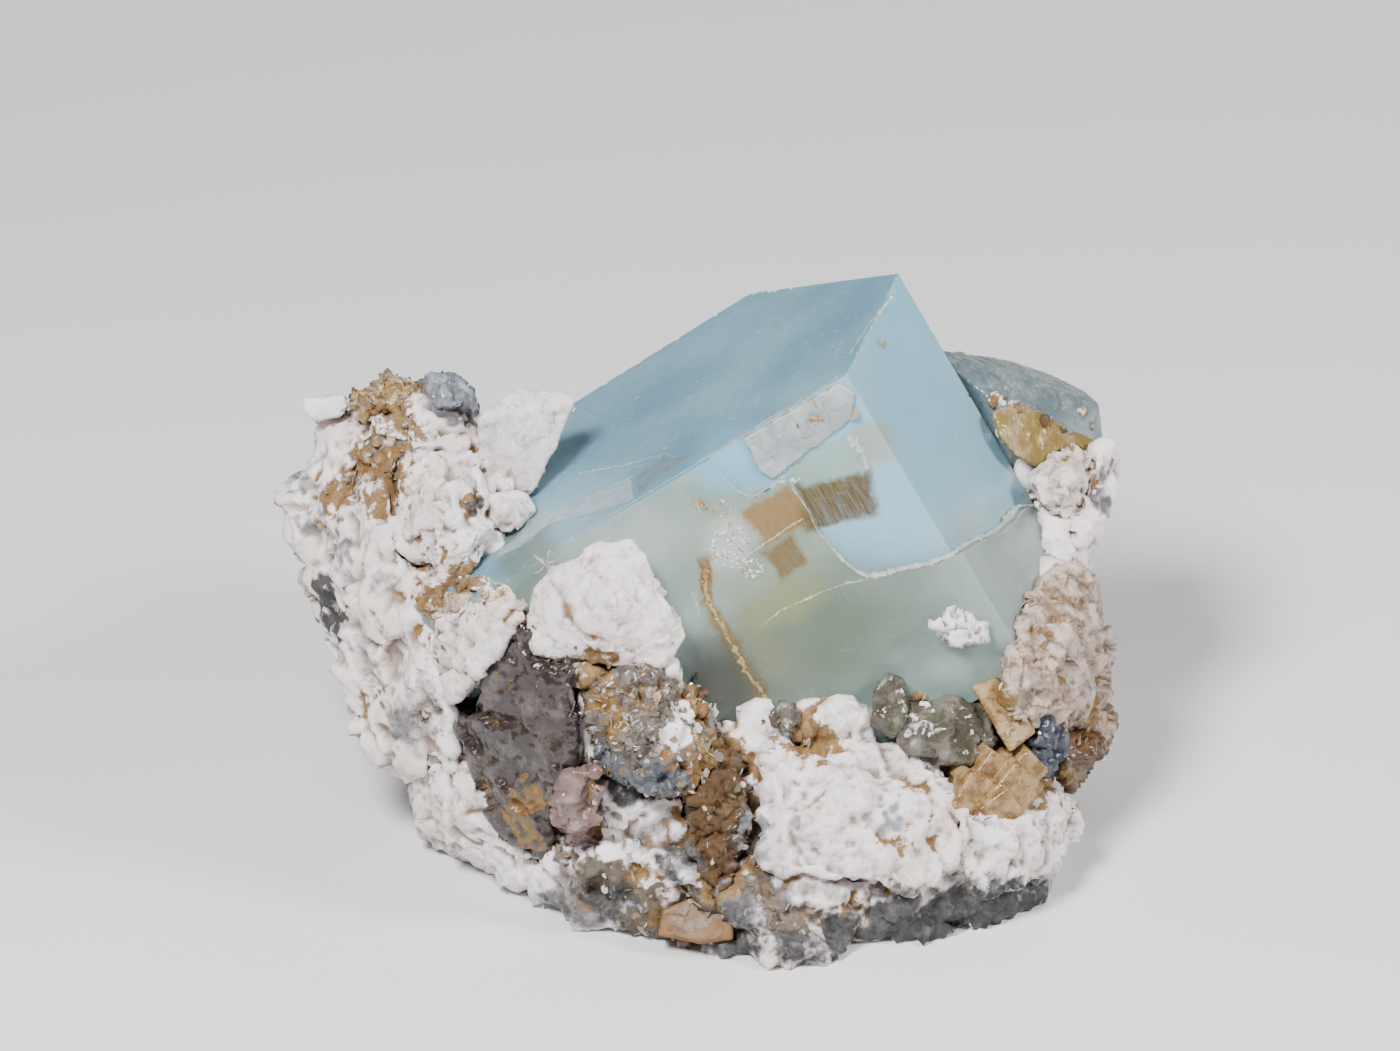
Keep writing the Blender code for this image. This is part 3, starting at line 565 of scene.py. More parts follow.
def glassy_look(name, clear, cloud, tint, density, transmission, rough=0.16, ior=1.545, stain=None,
                cloud_size=3.0 * MM, cloud_low=0.42, cloud_high=0.75, chipped=0.5, blot=None):
    """Broken glassy quartz: clouded inside, curved break, a milky film and iron stain."""
    look = Look(name, ior=ior, transmission=transmission)
    milk = look.patches(cloud_size, 6.0, 3, 0.68, cloud_low, cloud_high)
    body = look.mix(milk, clear, cloud)
    # Darker in the hollows: painted shade.
    body = look.over(body, tuple(0.45 * part for part in clear), look.attribute("hollow"), 0.5)
    if blot:
        body = look.mix(look.mask("rust", 0.8 * MM, low=0.45, high=0.8), body, blot)
    if stain:
        body = look.group("iron_stain", Color=body, Stain_Color=stain, Wash=0.35)["Color"]
    shell = look.noise(look.warped(look.place, 4 * MM, 3 * MM, 5), 2.2 * MM, 2.0, 6, 0.5)
    fine = look.group("stone_grain", Size=0.6 * MM)
    facets = look.group("glints", Size=1.3 * MM, Share=0.5)
    normal = look.bump(shell, 0.5 * MM, 0.8)
    normal = look.bump(facets["Height"], 0.35 * MM, chipped, normal)
    normal = look.bump(fine["Height"], 0.06 * MM, 0.6, normal)
    look.absorb(tint, density)
    return look.finish(body, look.math("MULTIPLY_ADD", milk, 0.38, rough), normal)


def mica_look(name, flake, dark, stain, size=0.9 * MM):
    """Crumpled mica: scales that each lean their own way, pearly, with clay between them."""
    look = Look(name, ior=1.58, coat=0.35, coat_roughness=0.18)
    scales = look.group("glints", Size=size, Share=0.45)
    body = look.mix(look.band(scales["Tone"], 0.15, 0.9), dark, flake)
    body = look.mix(look.patches(4 * MM, 4.0, 2, 0.55, 0.52, 0.75), body, (0.30, 0.25, 0.20))
    # Near black in the hollows between the scales: painted shade.
    body = look.over(body, (0.03, 0.022, 0.018), look.attribute("hollow"), 0.8)
    stained = look.group("iron_stain", Color=body, Stain_Color=stain, Wash=0.6)
    # Dark blue-grey where the dark spots lie: dark grains, and painted shadow along the bottom.
    body = look.mix(look.mask("dark", 1.0 * MM), stained["Color"], (0.08, 0.09, 0.11))
    body = look.mix(look.mask("pale", 0.8 * MM), body, (0.84, 0.79, 0.77))
    rough = look.math("MULTIPLY_ADD", scales["Mask"], -0.3, 0.55)
    rough = look.math("MULTIPLY_ADD", stained["Mask"], 0.3, rough)
    fine = look.group("stone_grain", Size=0.45 * MM)
    normal = look.bump(scales["Height"], 0.6 * MM, 0.8)
    normal = look.bump(fine["Height"], 0.15 * MM, 0.7, normal)
    return look.finish(body, rough, normal)


# ---------------------------------------------------------------- painted places

# (right, up, radius, strength) on the drawing plane, in millimetres
RUST = (
    (-43.9, 55.7, 1.8, 0.9), (-39.5, 56.0, 1.2, 0.9), (-37.4, 56.9, 0.9, 0.8), (-26.5, 59.2, 0.8, 0.6),
    (-27.8, 62.2, 0.8, 0.6), (-27.1, 55.2, 1.0, 1.0), (-37.0, 59.4, 2.4, 0.8), (-37.8, 67.8, 4.0, 0.6),
    (-41.0, 60.0, 1.8, 0.8), (-38.4, 54.4, 1.2, 0.8), (-35.3, 63.0, 2.4, 0.5), (-45.6, 65.4, 2.2, 0.3),
    (-31.2, 48.6, 3.0, 0.5), (-27.6, 45.6, 2.4, 0.7), (-31.2, 43.8, 3.0, 0.5), (-32.4, 42.6, 1.8, 0.7),
    (-32.2, 39.0, 1.2, 0.6), (-21.6, 43.8, 2.4, 0.5), (-1.2, 39.0, 1.2, 0.6), (-23.4, 33.0, 1.7, 0.5),
    (-12.0, 33.0, 1.7, 0.9), (-10.6, 29.4, 1.9, 0.8), (-7.2, 31.8, 3.0, 0.4), (-3.4, 25.8, 1.7, 0.9),
    (-12.0, 36.6, 2.2, 0.8), (0.0, 31.8, 1.9, 0.9), (1.8, 24.6, 3.4, 1.0), (2.4, 19.8, 3.4, 1.0),
    (0.6, 15.0, 3.0, 1.0), (2.6, 10.2, 2.6, 1.0), (-21.0, 19.8, 1.9, 1.0), (-20.4, 15.6, 1.7, 0.9),
    (-21.6, 18.0, 1.7, 0.9), (-25.8, 21.0, 1.0, 0.6), (-12.0, 22.2, 1.2, 0.6), (-12.0, 16.2, 1.2, 0.6),
    (-7.2, 10.2, 2.2, 0.6), (-12.0, 7.8, 2.4, 0.5), (-5.4, 6.6, 1.7, 0.7), (-1.2, 4.2, 1.4, 0.6),
    (3.6, 3.6, 1.4, 0.5), (16.8, 5.4, 2.2, 0.7), (19.2, 7.2, 1.7, 0.6), (13.2, 27.6, 3.0, 0.9),
    (25.2, 21.6, 1.4, 0.6), (24.6, 15.0, 1.4, 0.6), (28.2, 14.4, 1.2, 0.6), (6.6, 12.6, 1.4, 0.8),
    (10.8, 11.4, 1.8, 0.4), (21.6, 15.6, 1.0, 0.7), (24.6, 33.0, 2.4, 0.9), (28.2, 35.2, 3.0, 0.9),
    (34.2, 30.6, 1.4, 0.9), (36.0, 31.8, 1.9, 0.8), (39.6, 39.0, 3.0, 0.5), (45.0, 42.6, 2.4, 0.45),
    (43.2, 33.0, 1.8, 0.5), (46.8, 29.4, 2.4, 0.5), (40.8, 21.0, 1.7, 0.8), (43.8, 22.8, 1.2, 0.8),
    (31.0, 23.4, 1.4, 0.7), (33.0, 25.8, 1.7, 0.8), (8.0, 64.6, 0.9, 0.9), (10.5, 65.9, 0.9, 0.9),
    (13.0, 67.2, 0.9, 0.9), (15.6, 68.4, 0.8, 0.8), (13.6, 65.2, 0.5, 1.0), (12.0, 62.6, 0.6, 0.8),
    (36.0, 67.2, 1.2, 0.8), (40.2, 66.0, 2.2, 0.9), (44.4, 64.2, 1.8, 0.9), (46.8, 66.0, 1.2, 0.7),
    (40.8, 55.8, 1.2, 0.5), (43.2, 51.0, 1.0, 0.6), (-42.1, 33.0, 0.7, 0.7), (-39.4, 31.8, 2.4, 0.4),
)
# Dark spots: dark grains, and the low ones along the bottom painted shadow under the slab and on the
# undersides.
DARK = (
    (-44.8, 43.8, 1.3, 1.3), (-43.8, 40.8, 1.3, 1.3), (-45.4, 45.6, 1.0, 1.2), (-27.0, 55.0, 0.8, 0.9),
    (-12.0, 23.4, 2.4, 0.8), (-8.4, 21.6, 2.6, 0.9), (-4.2, 22.8, 2.2, 0.8), (-12.0, 26.4, 1.4, 0.6),
    (-3.0, 12.6, 3.0, 0.7), (-9.6, 7.2, 2.6, 0.5), (21.6, 5.4, 3.0, 1.0), (26.4, 4.4, 4.0, 1.0),
    (32.4, 4.4, 4.4, 1.0), (37.2, 6.4, 3.6, 1.0), (40.8, 8.6, 2.4, 0.8), (12.0, 2.4, 2.6, 0.8),
    (17.0, 3.0, 4.0, 0.9), (24.0, 6.5, 3.6, 0.9), (30.0, 6.6, 3.6, 0.9), (35.0, 7.6, 3.0, 0.8),
    (-11.0, 8.0, 3.4, 0.7), (4.0, 3.6, 4.0, 0.8), (-18.0, 7.0, 3.0, 0.5), (42.0, 26.4, 1.9, 1.0),
    (40.8, 24.6, 1.4, 1.0), (43.2, 24.0, 1.2, 0.9), (-32.4, 29.4, 2.2, 0.45),
)
GREY = (
    (-29.4, 68.4, 3.1, 0.9), (-42.4, 66.0, 0.9, 0.7), (-43.0, 50.0, 1.8, 0.6), (-38.0, 46.0, 2.0, 0.5),
    (-46.4, 53.0, 1.6, 0.6), (-34.0, 52.0, 1.6, 0.45), (12.0, 18.0, 1.6, 0.5), (34.0, 18.0, 1.6, 0.45),
    (-48.0, 57.6, 1.7, 0.6), (-36.0, 29.4, 2.6, 0.6), (-33.6, 33.0, 2.6, 0.5), (6.0, 17.4, 1.7, 0.9),
    (6.6, 13.8, 1.9, 0.8), (22.8, 17.2, 1.4, 0.8), (15.6, 9.6, 2.2, 0.5), (4.8, 7.8, 2.6, 0.7),
    (9.6, 7.8, 3.0, 0.6), (-7.2, 16.2, 2.2, 0.6), (-16.8, 6.6, 3.0, 0.6), (-14.0, 8.0, 4.0, 0.7),
    (0.0, 5.0, 4.0, 0.7), (43.2, 11.4, 2.4, 0.6), (48.0, 55.8, 1.8, 0.7), (48.6, 59.4, 1.4, 0.6),
)
MICA = (
    (5.3, 16.2, 1.9, 1.0), (-9.6, 10.2, 2.4, 0.8), (-13.2, 11.4, 2.4, 0.7), (-6.0, 7.2, 2.2, 0.8),
    (0.0, 7.8, 1.9, 0.8), (-16.8, 13.8, 1.8, 0.6), (-36.6, 63.0, 2.2, 0.8), (-36.0, 59.4, 1.4, 0.7),
    (6.6, 10.0, 2.2, 0.8), (3.0, 20.0, 2.4, 0.45), (-7.0, 4.6, 2.4, 0.8), (10.0, 5.0, 3.0, 0.6),
    (-32.4, 30.6, 2.4, 0.45), (-39.0, 34.0, 1.4, 0.4), (-12.0, 17.5, 2.0, 0.5), (-39.4, 60.6, 2.4, 0.7),
    (-34.4, 57.0, 1.6, 0.6), (-42.0, 57.6, 1.8, 0.5),
)
CRUST = (
    (36.0, 67.5, 2.0, 1.0), (39.0, 66.6, 2.0, 1.0), (42.4, 64.8, 2.0, 1.0), (45.6, 63.9, 1.8, 1.0),
    (33.0, 67.8, 1.2, 0.6), (47.6, 61.0, 1.4, 0.8), (25.2, 32.0, 2.0, 0.6), (14.0, 27.8, 1.6, 0.5),
    (-27.0, 44.0, 2.0, 0.6), (-37.5, 62.0, 2.6, 0.5), (-40.0, 56.0, 2.0, 0.4), (-12.0, 33.0, 2.0, 0.8),
)
PALE = (
    (-3.0, 28.2, 1.8, 0.9), (-1.8, 30.6, 1.0, 0.9), (-41.0, 36.0, 3.6, 0.9), (-43.0, 38.5, 2.6, 0.9),
)
SPOT_LISTS = {"rust": RUST, "dark": DARK, "grey": GREY, "mica": MICA, "pale": PALE, "crust": CRUST}


# ---------------------------------------------------------------- stones


ROCKS = []


def fresh_copy(node, name):
    """A new object at the origin with a welded copy of a solid's mesh."""
    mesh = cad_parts[node].data.copy()
    shape = bmesh.new()
    shape.from_mesh(mesh)
    bmesh.ops.remove_doubles(shape, verts=shape.verts, dist=0.001 * MM)
    shape.to_mesh(mesh)
    shape.free()
    mesh.materials.clear()
    for attribute in [a.name for a in mesh.attributes if not a.is_internal and a.name != "position"]:
        mesh.attributes.remove(mesh.attributes[attribute])
    thing = bpy.data.objects.new(name, mesh)
    bpy.context.scene.collection.objects.link(thing)
    return thing


def weathered(node, surface, step, soften, seed, grow, relief):
    """A finely meshed and broken copy of a rock solid, painted with its stains and spots, the dark spots
    along the bottom partly painted shadow.

    Relief holds the heights and sizes that RELIEF names, and grow is a height too, in millimetres.
    """
    thing = node if isinstance(node, bpy.types.Object) else fresh_copy(node, node + "_stone")
    remesh = thing.modifiers.new("remesh", "REMESH")
    remesh.mode = "VOXEL"
    remesh.voxel_size = step
    smooth = thing.modifiers.new("smooth", "SMOOTH")
    smooth.factor = 0.5
    smooth.iterations = soften
    settle(thing)
    values = {name: value * MM for name, value in zip(("Grow", *RELIEF), (grow, *relief))}
    values["Seed"] = 0.37 * seed
    values["Material"] = surface
    apply_tree(thing, bpy.data.node_groups["weathering"], values)
    mesh = thing.data
    points = points_of(mesh)
    points[:, 2] = np.maximum(points[:, 2], 0.0)
    mesh.vertices.foreach_set("co", points.ravel())
    for name, spots in SPOT_LISTS.items():
        store(mesh, name, spotted(mesh, spots))
    away = np.clip(-(normals_of(mesh) @ TOWARDS_VIEW) * 2 + 0.3, 0.0, 1.0)
    store(mesh, "unseen", away)
    mesh.polygons.foreach_set("use_smooth", [True] * len(mesh.polygons))
    ROCKS.append(thing.name)
    return thing


def placed(thing, node):
    """Let a piece stand for a solid and ride with the specimen."""
    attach(thing, "root")
    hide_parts(node)


def make_looks(tones):
    iron_stain_group()
    stone_grain_group()
    glints_group()
    rust, feldspar, blush = tuple(tones.rust), tuple(tones.feldspar), tuple(tones.blush)
    stone_look("chalky_feldspar", feldspar, blush, rust)
    stone_look("white_feldspar", (0.90, 0.87, 0.86), feldspar, rust, shine=0.1)
    stone_look("granular_tan", (0.36, 0.23, 0.14), (0.60, 0.47, 0.38), rust, (0.26, 0.20, 0.17),
               0.9 * MM, 0.3)
    stone_look("granular_white", (0.80, 0.70, 0.64), (0.52, 0.38, 0.28), rust, (0.40, 0.34, 0.32),
               0.8 * MM, 0.2)
    stone_look("iron_clay", tuple(tones.clay), (0.090, 0.040, 0.010), (0.062, 0.028, 0.006),
               (0.02, 0.012, 0.006), 0.7 * MM, 0.12, 0.06)
    glassy_look("smoky_quartz", tuple(tones.smoke), (0.17, 0.14, 0.14), (0.45, 0.38, 0.34), 90, 0.2,
                stain=rust)
    glassy_look("tan_quartz", (0.20, 0.125, 0.08), (0.62, 0.50, 0.42), (0.8, 0.6, 0.45), 80, 0.12,
                rough=0.26, stain=rust, cloud_size=2.5 * MM, cloud_low=0.36, cloud_high=0.62)
    glassy_look("rosy_quartz", (0.20, 0.12, 0.11), (0.46, 0.33, 0.31), (0.8, 0.6, 0.55), 60, 0.2, stain=rust)
    glassy_look("clear_quartz", (0.09, 0.08, 0.055), (0.32, 0.29, 0.24), (0.6, 0.58, 0.45), 60, 0.35)
    glassy_look("brown_quartz", (0.10, 0.05, 0.025), (0.30, 0.19, 0.12), (0.6, 0.4, 0.25), 80, 0.2,
                stain=rust)
    glassy_look("grey_quartz", (0.16, 0.17, 0.20), (0.55, 0.57, 0.62), (0.7, 0.75, 0.85), 60, 0.2, stain=rust)
    glassy_look("honey_spar", tuple(tones.honey), (0.29, 0.135, 0.032), (0.9, 0.6, 0.3), 60, 0.1,
                rough=0.46, chipped=0.08)
    glassy_look("tan_spar", (0.20, 0.105, 0.028), (0.48, 0.31, 0.14), (0.9, 0.7, 0.45), 60, 0.25,
                cloud_size=1.6 * MM, cloud_low=0.38, cloud_high=0.62)
    glassy_look("dark_grain", tuple(tones.dark), (0.05, 0.05, 0.07), (0.1, 0.1, 0.15), 300, 0.0, rough=0.22)
    mica_look("crumpled_mica", tuple(tones.mica), (0.07, 0.06, 0.05), rust)
    mica_look("tan_mica", (0.50, 0.34, 0.19), (0.22, 0.12, 0.05), rust, 0.7 * MM)


# What a stone's relief holds, in millimetres
RELIEF = ("Lumps", "Steps", "Cracks", "Pits", "Grain", "Chip Size")
# Solid, surface, colour slot, rounds of smoothing and relief
STONES = {
    "feldspar": (
        ("feldspar_chip", "white_feldspar", "white_feldspar", 2, (0.5, 0.5, 0.2, 0.2, 0.6, 1.4)),
        ("feldspar_tooth", "chalky_feldspar", "feldspar", 2, (0.5, 0.18, 0.0, 0.15, 0.25, 6.0)),
        ("feldspar_knob", "chalky_feldspar", "feldspar", 2, (1.0, 0.30, 0.1, 0.2, 0.35, 3.0)),
        ("feldspar_boss", "chalky_feldspar", "feldspar", 1, (2.4, 0.7, 0.3, 0.5, 0.5, 3.5)),
        ("feldspar_crown", "white_feldspar", "white_feldspar", 4, (0.3, 0.2, 0.1, 0.1, 0.25, 4.0)),
        ("feldspar_top_block", "white_feldspar", "white_feldspar", 3, (0.3, 0.3, 0.1, 0.2, 0.3, 4.0)),
        ("feldspar_front_block", "chalky_feldspar", "feldspar", 1, (2.0, 0.38, 0.2, 0.4, 0.40, 6.0)),
        ("feldspar_front_wedge", "chalky_feldspar", "feldspar", 1, (3.0, 0.6, 0.3, 0.5, 0.45, 4.0)),
        ("feldspar_lower_left", "chalky_feldspar", "feldspar", 1, (3.4, 0.7, 0.3, 0.5, 0.45, 4.5)),
        ("feldspar_slab", "chalky_feldspar", "feldspar", 2, (6.0, 0.45, 0.1, 0.4, 0.45, 5.0)),
        ("feldspar_right_end", "chalky_feldspar", "feldspar", 2, (4.6, 0.50, 0.1, 0.4, 0.45, 4.0)),
        ("feldspar_right_back", "granular_white", "white_feldspar", 2, (1.4, 0.6, 0.3, 0.6, 1.0, 2.4)),
        ("tan_quartz", "tan_quartz", "tan_quartz", 2, (2.0, 1.0, 0.3, 0.2, 0.7, 3.5)),
    ),
    "quartz": (
        ("pink_quartz", "rosy_quartz", "rose_quartz", 3, (0.5, 0.8, 0.2, 0.0, 0.2, 3.0)),
        ("smoky_quartz", "smoky_quartz", "smoky_quartz", 3, (1.6, 0.9, 0.2, 0.0, 0.25, 5.0)),
        ("small_quartz", "clear_quartz", "clear_quartz", 1, (0.3, 0.25, 0.1, 0.0, 0.06, 2.5)),
        ("foot_quartz", "clear_quartz", "clear_quartz", 1, (0.3, 0.3, 0.1, 0.0, 0.06, 2.0)),
        ("clear_quartz", "clear_quartz", "clear_quartz", 1, (0.4, 0.4, 0.1, 0.0, 0.05, 4.0)),
        ("brown_quartz", "brown_quartz", "brown_quartz", 3, (0.7, 0.9, 0.3, 0.0, 0.3, 3.0)),
        ("grey_quartz", "grey_quartz", "grey_quartz", 3, (0.6, 0.7, 0.3, 0.3, 0.4, 2.0)),
    ),
    "spar": (
        ("honey_block", "honey_spar", "honey", 0, (0.1, 0.04, 0.0, 0.0, 0.05, 4.0)),
        ("tan_block", "tan_spar", "tan_spar", 0, (0.1, 0.06, 0.0, 0.0, 0.06, 4.0)),
        ("tan_cluster", "tan_spar", "tan_spar", 0, (0.0, 0.03, 0.0, 0.0, 0.04, 2.0)),
        ("dark_grain", "dark_grain", "dark", 2, (0.6, 0.8, 0.3, 0.3, 0.6, 3.0)),
    ),
    "mica": (
        ("mica_lump", "crumpled_mica", "mica", 2, (1.2, 0.7, 0.4, 0.7, 1.0, 2.2)),
        ("mica_rosettes", "tan_mica", "mica", 2, (0.9, 0.8, 0.4, 0.8, 1.0, 1.6)),
        ("clay_seam", "iron_clay", "clay", 2, (1.4, 0.8, 0.3, 0.9, 1.4, 1.8)),
    ),
}
# Share of the mesh step on cleavage pieces, whose edges stay sharp
FINE_STEP = 0.65


def build_stones(group, sizes):
    for number, (node, surface, slot, soften, relief) in enumerate(STONES[group]):
        step = sizes.mesh_step * (1.0 if soften else FINE_STEP)
        seed = sizes.seed + number
        thing = weathered(node, LOOKS[surface], step, soften, seed, sizes.gap_fill / MM, relief)
        placed(thing, node)


# ---------------------------------------------------------------- the matrix rock


def rock_look(tones):
    """The fused rock: chalky feldspar that passes into quartz, mica and clay."""
    rust = tuple(tones.rust)
    look = Look("matrix_rock")
    chalk = look.patches(9 * MM, 4.0, 51, 0.55, 0.40, 0.68)
    body = look.mix(chalk, tuple(tones.feldspar), tuple(tones.blush))
    body = look.mix(look.patches(3.2 * MM, 5.0, 52, 0.66, 0.48, 0.70), body, (0.40, 0.38, 0.40))
    fine = look.group("stone_grain", Size=0.6 * MM)
    body = look.over(body, (0.94, 0.92, 0.92), fine["Tone"], 0.25)
    unseen = look.attribute("unseen")
    glassy = look.math("MULTIPLY", look.patches(13 * MM, 3.0, 53, 0.6, 0.50, 0.60), unseen)
    glassy = look.math("MAXIMUM", glassy, look.mask("grey", 1.6 * MM, low=0.25, high=0.7))
    grey = look.mix(look.patches(2.5 * MM, 5.0, 54, 0.7, 0.40, 0.75), (0.07, 0.065, 0.07), (0.34, 0.33, 0.34))
    body = look.mix(glassy, body, grey)
    scales = look.group("glints", Size=0.9 * MM, Share=0.4)
    silver = look.mix(look.band(scales["Tone"], 0.15, 0.9), (0.08, 0.065, 0.05), tuple(tones.mica))
    flaky = look.math("MULTIPLY", look.patches(8 * MM, 3.0, 55, 0.6, 0.56, 0.64), unseen)
    flaky = look.math("MAXIMUM", flaky, look.mask("mica", 1.2 * MM, low=0.3, high=0.55, seed=12))
    body = look.mix(flaky, body, silver)
    # Darker brown in the hollows: partly dirt, partly painted shade.
    body = look.over(body, (0.16, 0.11, 0.08), look.attribute("hollow"), 0.75)
    stained = look.group("iron_stain", Color=body, Stain_Color=rust, Wash=0.9)
    # Near black where the dark spots lie: dark grains, and painted shadow on the undersides along the bottom,
    # as under the slab.
    dark_mottle = look.patches(2.2 * MM, 6.0, 56, 0.7, 0.42, 0.70)
    dark_rock_and_shadow = look.mix(dark_mottle, (0.012, 0.013, 0.015), (0.08, 0.075, 0.075))
    dark_rock_and_shadow = look.over(dark_rock_and_shadow, (0.2, 0.19, 0.18), fine["Tone"], 0.2)
    body = look.mix(look.mask("dark", 2.0 * MM, 1.4, 0.25, 0.8, seed=13), stained["Color"], dark_rock_and_shadow)
    rough = look.math("MULTIPLY_ADD", glassy, -0.42, 0.82)
    rough = look.math("MULTIPLY_ADD", look.math("MULTIPLY", flaky, scales["Mask"]), -0.40, rough, clamp=True)
    normal = look.bump(fine["Height"], 0.18 * MM, 0.8)
    tilt = look.math("MULTIPLY", scales["Height"], look.math("MULTIPLY_ADD", flaky, 0.8, 0.2))
    normal = look.bump(tilt, 0.5 * MM, 0.8, normal)
    return look.finish(body, rough, normal)


def build_matrix(sizes, tones):
    grow = sizes.gap_fill / MM * 1.3
    relief = (3.8, 0.95, 0.4, 0.7, 0.8, 4.5)
    thing = weathered("matrix", rock_look(tones), sizes.rock_step, 3, sizes.seed + 40.0, grow, relief)
    placed(thing, "matrix")


# ---------------------------------------------------------------- rubble

# Loose pieces that sit on what is seen there: surface, and (right, up, radius) on the drawing plane
RUBBLE = (
    ("contact_feldspar", "chalky_feldspar", (
        (-32.6, 44.0, 2.2), (-30.6, 44.8, 2.4), (-28.4, 44.8, 2.3), (-26.4, 45.2, 2.0), (-25.0, 44.4, 1.6),
        (-31.4, 42.8, 2.0), (-28.8, 42.6, 2.0), (-26.8, 43.2, 1.6),
    )),
    ("white_cluster", "white_feldspar", (
        (26.2, 32.4, 1.0), (27.2, 31.0, 1.0), (25.6, 30.0, 0.8), (25.0, 31.4, 0.7),
    )),
    ("back_lumps", "white_feldspar", (
        (35.8, 68.0, 1.3), (38.2, 67.2, 1.2), (46.2, 66.2, 1.1), (47.6, 64.6, 1.0),
    )),
    ("tan_grains", "granular_tan", (
        (-31.0, 43.8, 1.7), (-29.2, 43.6, 1.6), (-32.4, 43.2, 1.5), (-27.6, 44.4, 1.3), (-37.6, 62.6, 1.4),
        (-39.8, 60.4, 1.2), (-41.6, 58.6, 1.1), (-36.4, 60.0, 1.0),
    )),
    ("rust_lumps", "iron_clay", (
        (41.4, 65.4, 1.0), (43.8, 64.4, 0.9), (-27.4, 54.8, 0.8), (8.8, 29.4, 0.9), (-0.6, 34.4, 0.8),
    )),
    ("honey_grain", "honey_spar", ((0.2, 32.4, 1.1), (-0.2, 31.0, 1.2), (7.4, 29.0, 0.9))),
)
RUBBLE_STEP = 0.26 * MM
# A depth in front of everything, in millimetres, from where lumps are set
IN_FRONT = -60.0


def build_rubble(sizes):
    """Small lumps in the gaps, each set on the surface it is seen against."""
    random = np.random.default_rng(sizes.seed + 90)
    graph = bpy.context.evaluated_depsgraph_get()
    relief = (0.5, 0.3, 0.2, 0.3, 0.5, 1.5)
    for number, (name, surface, lumps) in enumerate(RUBBLE):
        shape = bmesh.new()
        for right, up, radius in lumps:
            start = seen(right, up, IN_FRONT)
            way = (seen(right, up, 0.0) - start).normalized()
            place = bpy.context.scene.ray_cast(graph, start, way)[1] + way * 0.1 * radius * MM
            add_hull(shape, boulder(place, radius * MM, random))
        seed = sizes.seed + 50.0 + number
        thing = weathered(solid(name, shape), LOOKS[surface], RUBBLE_STEP, 1, seed, 0.0, relief)
        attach(thing, "root")


# ---------------------------------------------------------------- seams, crumbs and flakes

# Share of crumbs that are iron-stained clay, and how rich in crumbs or flakes a stone is all over
CLAY_SHARE = {"clay_seam_stone": 0.95, "mica_lump_stone": 0.6}
CRUMB_RICH = {"clay_seam_stone": 0.1, "mica_lump_stone": 0.2, "feldspar_right_back_stone": 0.15}
FLAKE_RICH = {"mica_lump_stone": 1.0, "mica_rosettes_stone": 0.6, "clay_seam_stone": 0.25}
CLEAN_STONES = ("inset_crystal_stone", "back_crystal_stone", "honey_block_stone", "tan_block_stone")
DUSTY_STONES = ("tan_cluster_stone", "ochre_crystal_stone", "clear_quartz_stone")
# No crumb or flake sits lower than this
BARE_FOOT = 1.2 * MM


def mark_seams(reach=1.5 * MM, rounds=9):
    """Paint "seam" on every stone, strongest where another stone or the beryl is close."""
    random = np.random.default_rng(5)
    things = [bpy.data.objects[name] for name in ROCKS]
    clouds = [points_of(thing.data) for thing in things]
    points = np.concatenate(clouds)
    owner = np.concatenate([np.full(len(cloud), number) for number, cloud in enumerate(clouds)])
    near = np.zeros(len(points))
    for _ in range(rounds):
        cell = np.floor((points + 1.0 + random.uniform(0, reach, 3)) / reach).astype(np.int64)
        key = (cell[:, 0] * 4096 + cell[:, 1]) * 4096 + cell[:, 2]
        pairs = np.unique(key * 64 + owner) // 64
        cells, owners = np.unique(pairs, return_counts=True)
        near += np.isin(key, cells[owners > 1])
    near /= rounds
    away = (points - np.array(hexagon()[0])) @ np.array(crystal_axes()[0])
    for corner, normal in side_faces():
        away = np.maximum(away, (points - np.array(corner)) @ np.array(normal))
    near = np.maximum(near, np.clip(1.6 - away / (1.4 * MM), 0.0, 1.0))
    start = 0
    for thing, cloud in zip(things, clouds):
        store(thing.data, "seam", near[start:start + len(cloud)])
        start += len(cloud)


def values_of(mesh, name):
    values = np.zeros(len(mesh.vertices), dtype=np.float32)
    mesh.attributes[name].data.foreach_get("value", values)
    return values


def sown(name, places, leans, seed, tree, kinds=None, **values):
    """Set small pieces of a scatter tree at the places, each standing on its lean.

    Where kinds is above 0, that part of the pieces takes the tones of iron-stained clay.
    """
    random = np.random.default_rng(seed)
    count = len(places)
    mesh = bpy.data.meshes.new(name)
    mesh.from_pydata(places.tolist(), [], [])
    mesh.attributes.new("lean", "FLOAT_VECTOR", "POINT").data.foreach_set("vector", leans.ravel())
    for label, low, power in (("swell", 0.35, 2.2), ("tone", 0.0, 1.0)):
        drawn = low + (1.0 - low) * random.uniform(0, 1, count) ** power
        if label == "tone" and kinds is not None:
            ochre = random.uniform(0, 1, count) < 0.6
            brown = np.where(ochre, 0.60 + 0.1 * drawn, 0.83 + 0.09 * drawn)
            drawn = np.where(random.uniform(0, 1, count) < kinds, brown, drawn)
        mesh.attributes.new(label, "FLOAT", "POINT").data.foreach_set("value", drawn.astype(np.float32))
    thing = bpy.data.objects.new(name, mesh)
    bpy.context.scene.collection.objects.link(thing)
    apply_tree(thing, tree, values)
    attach(thing, "root")


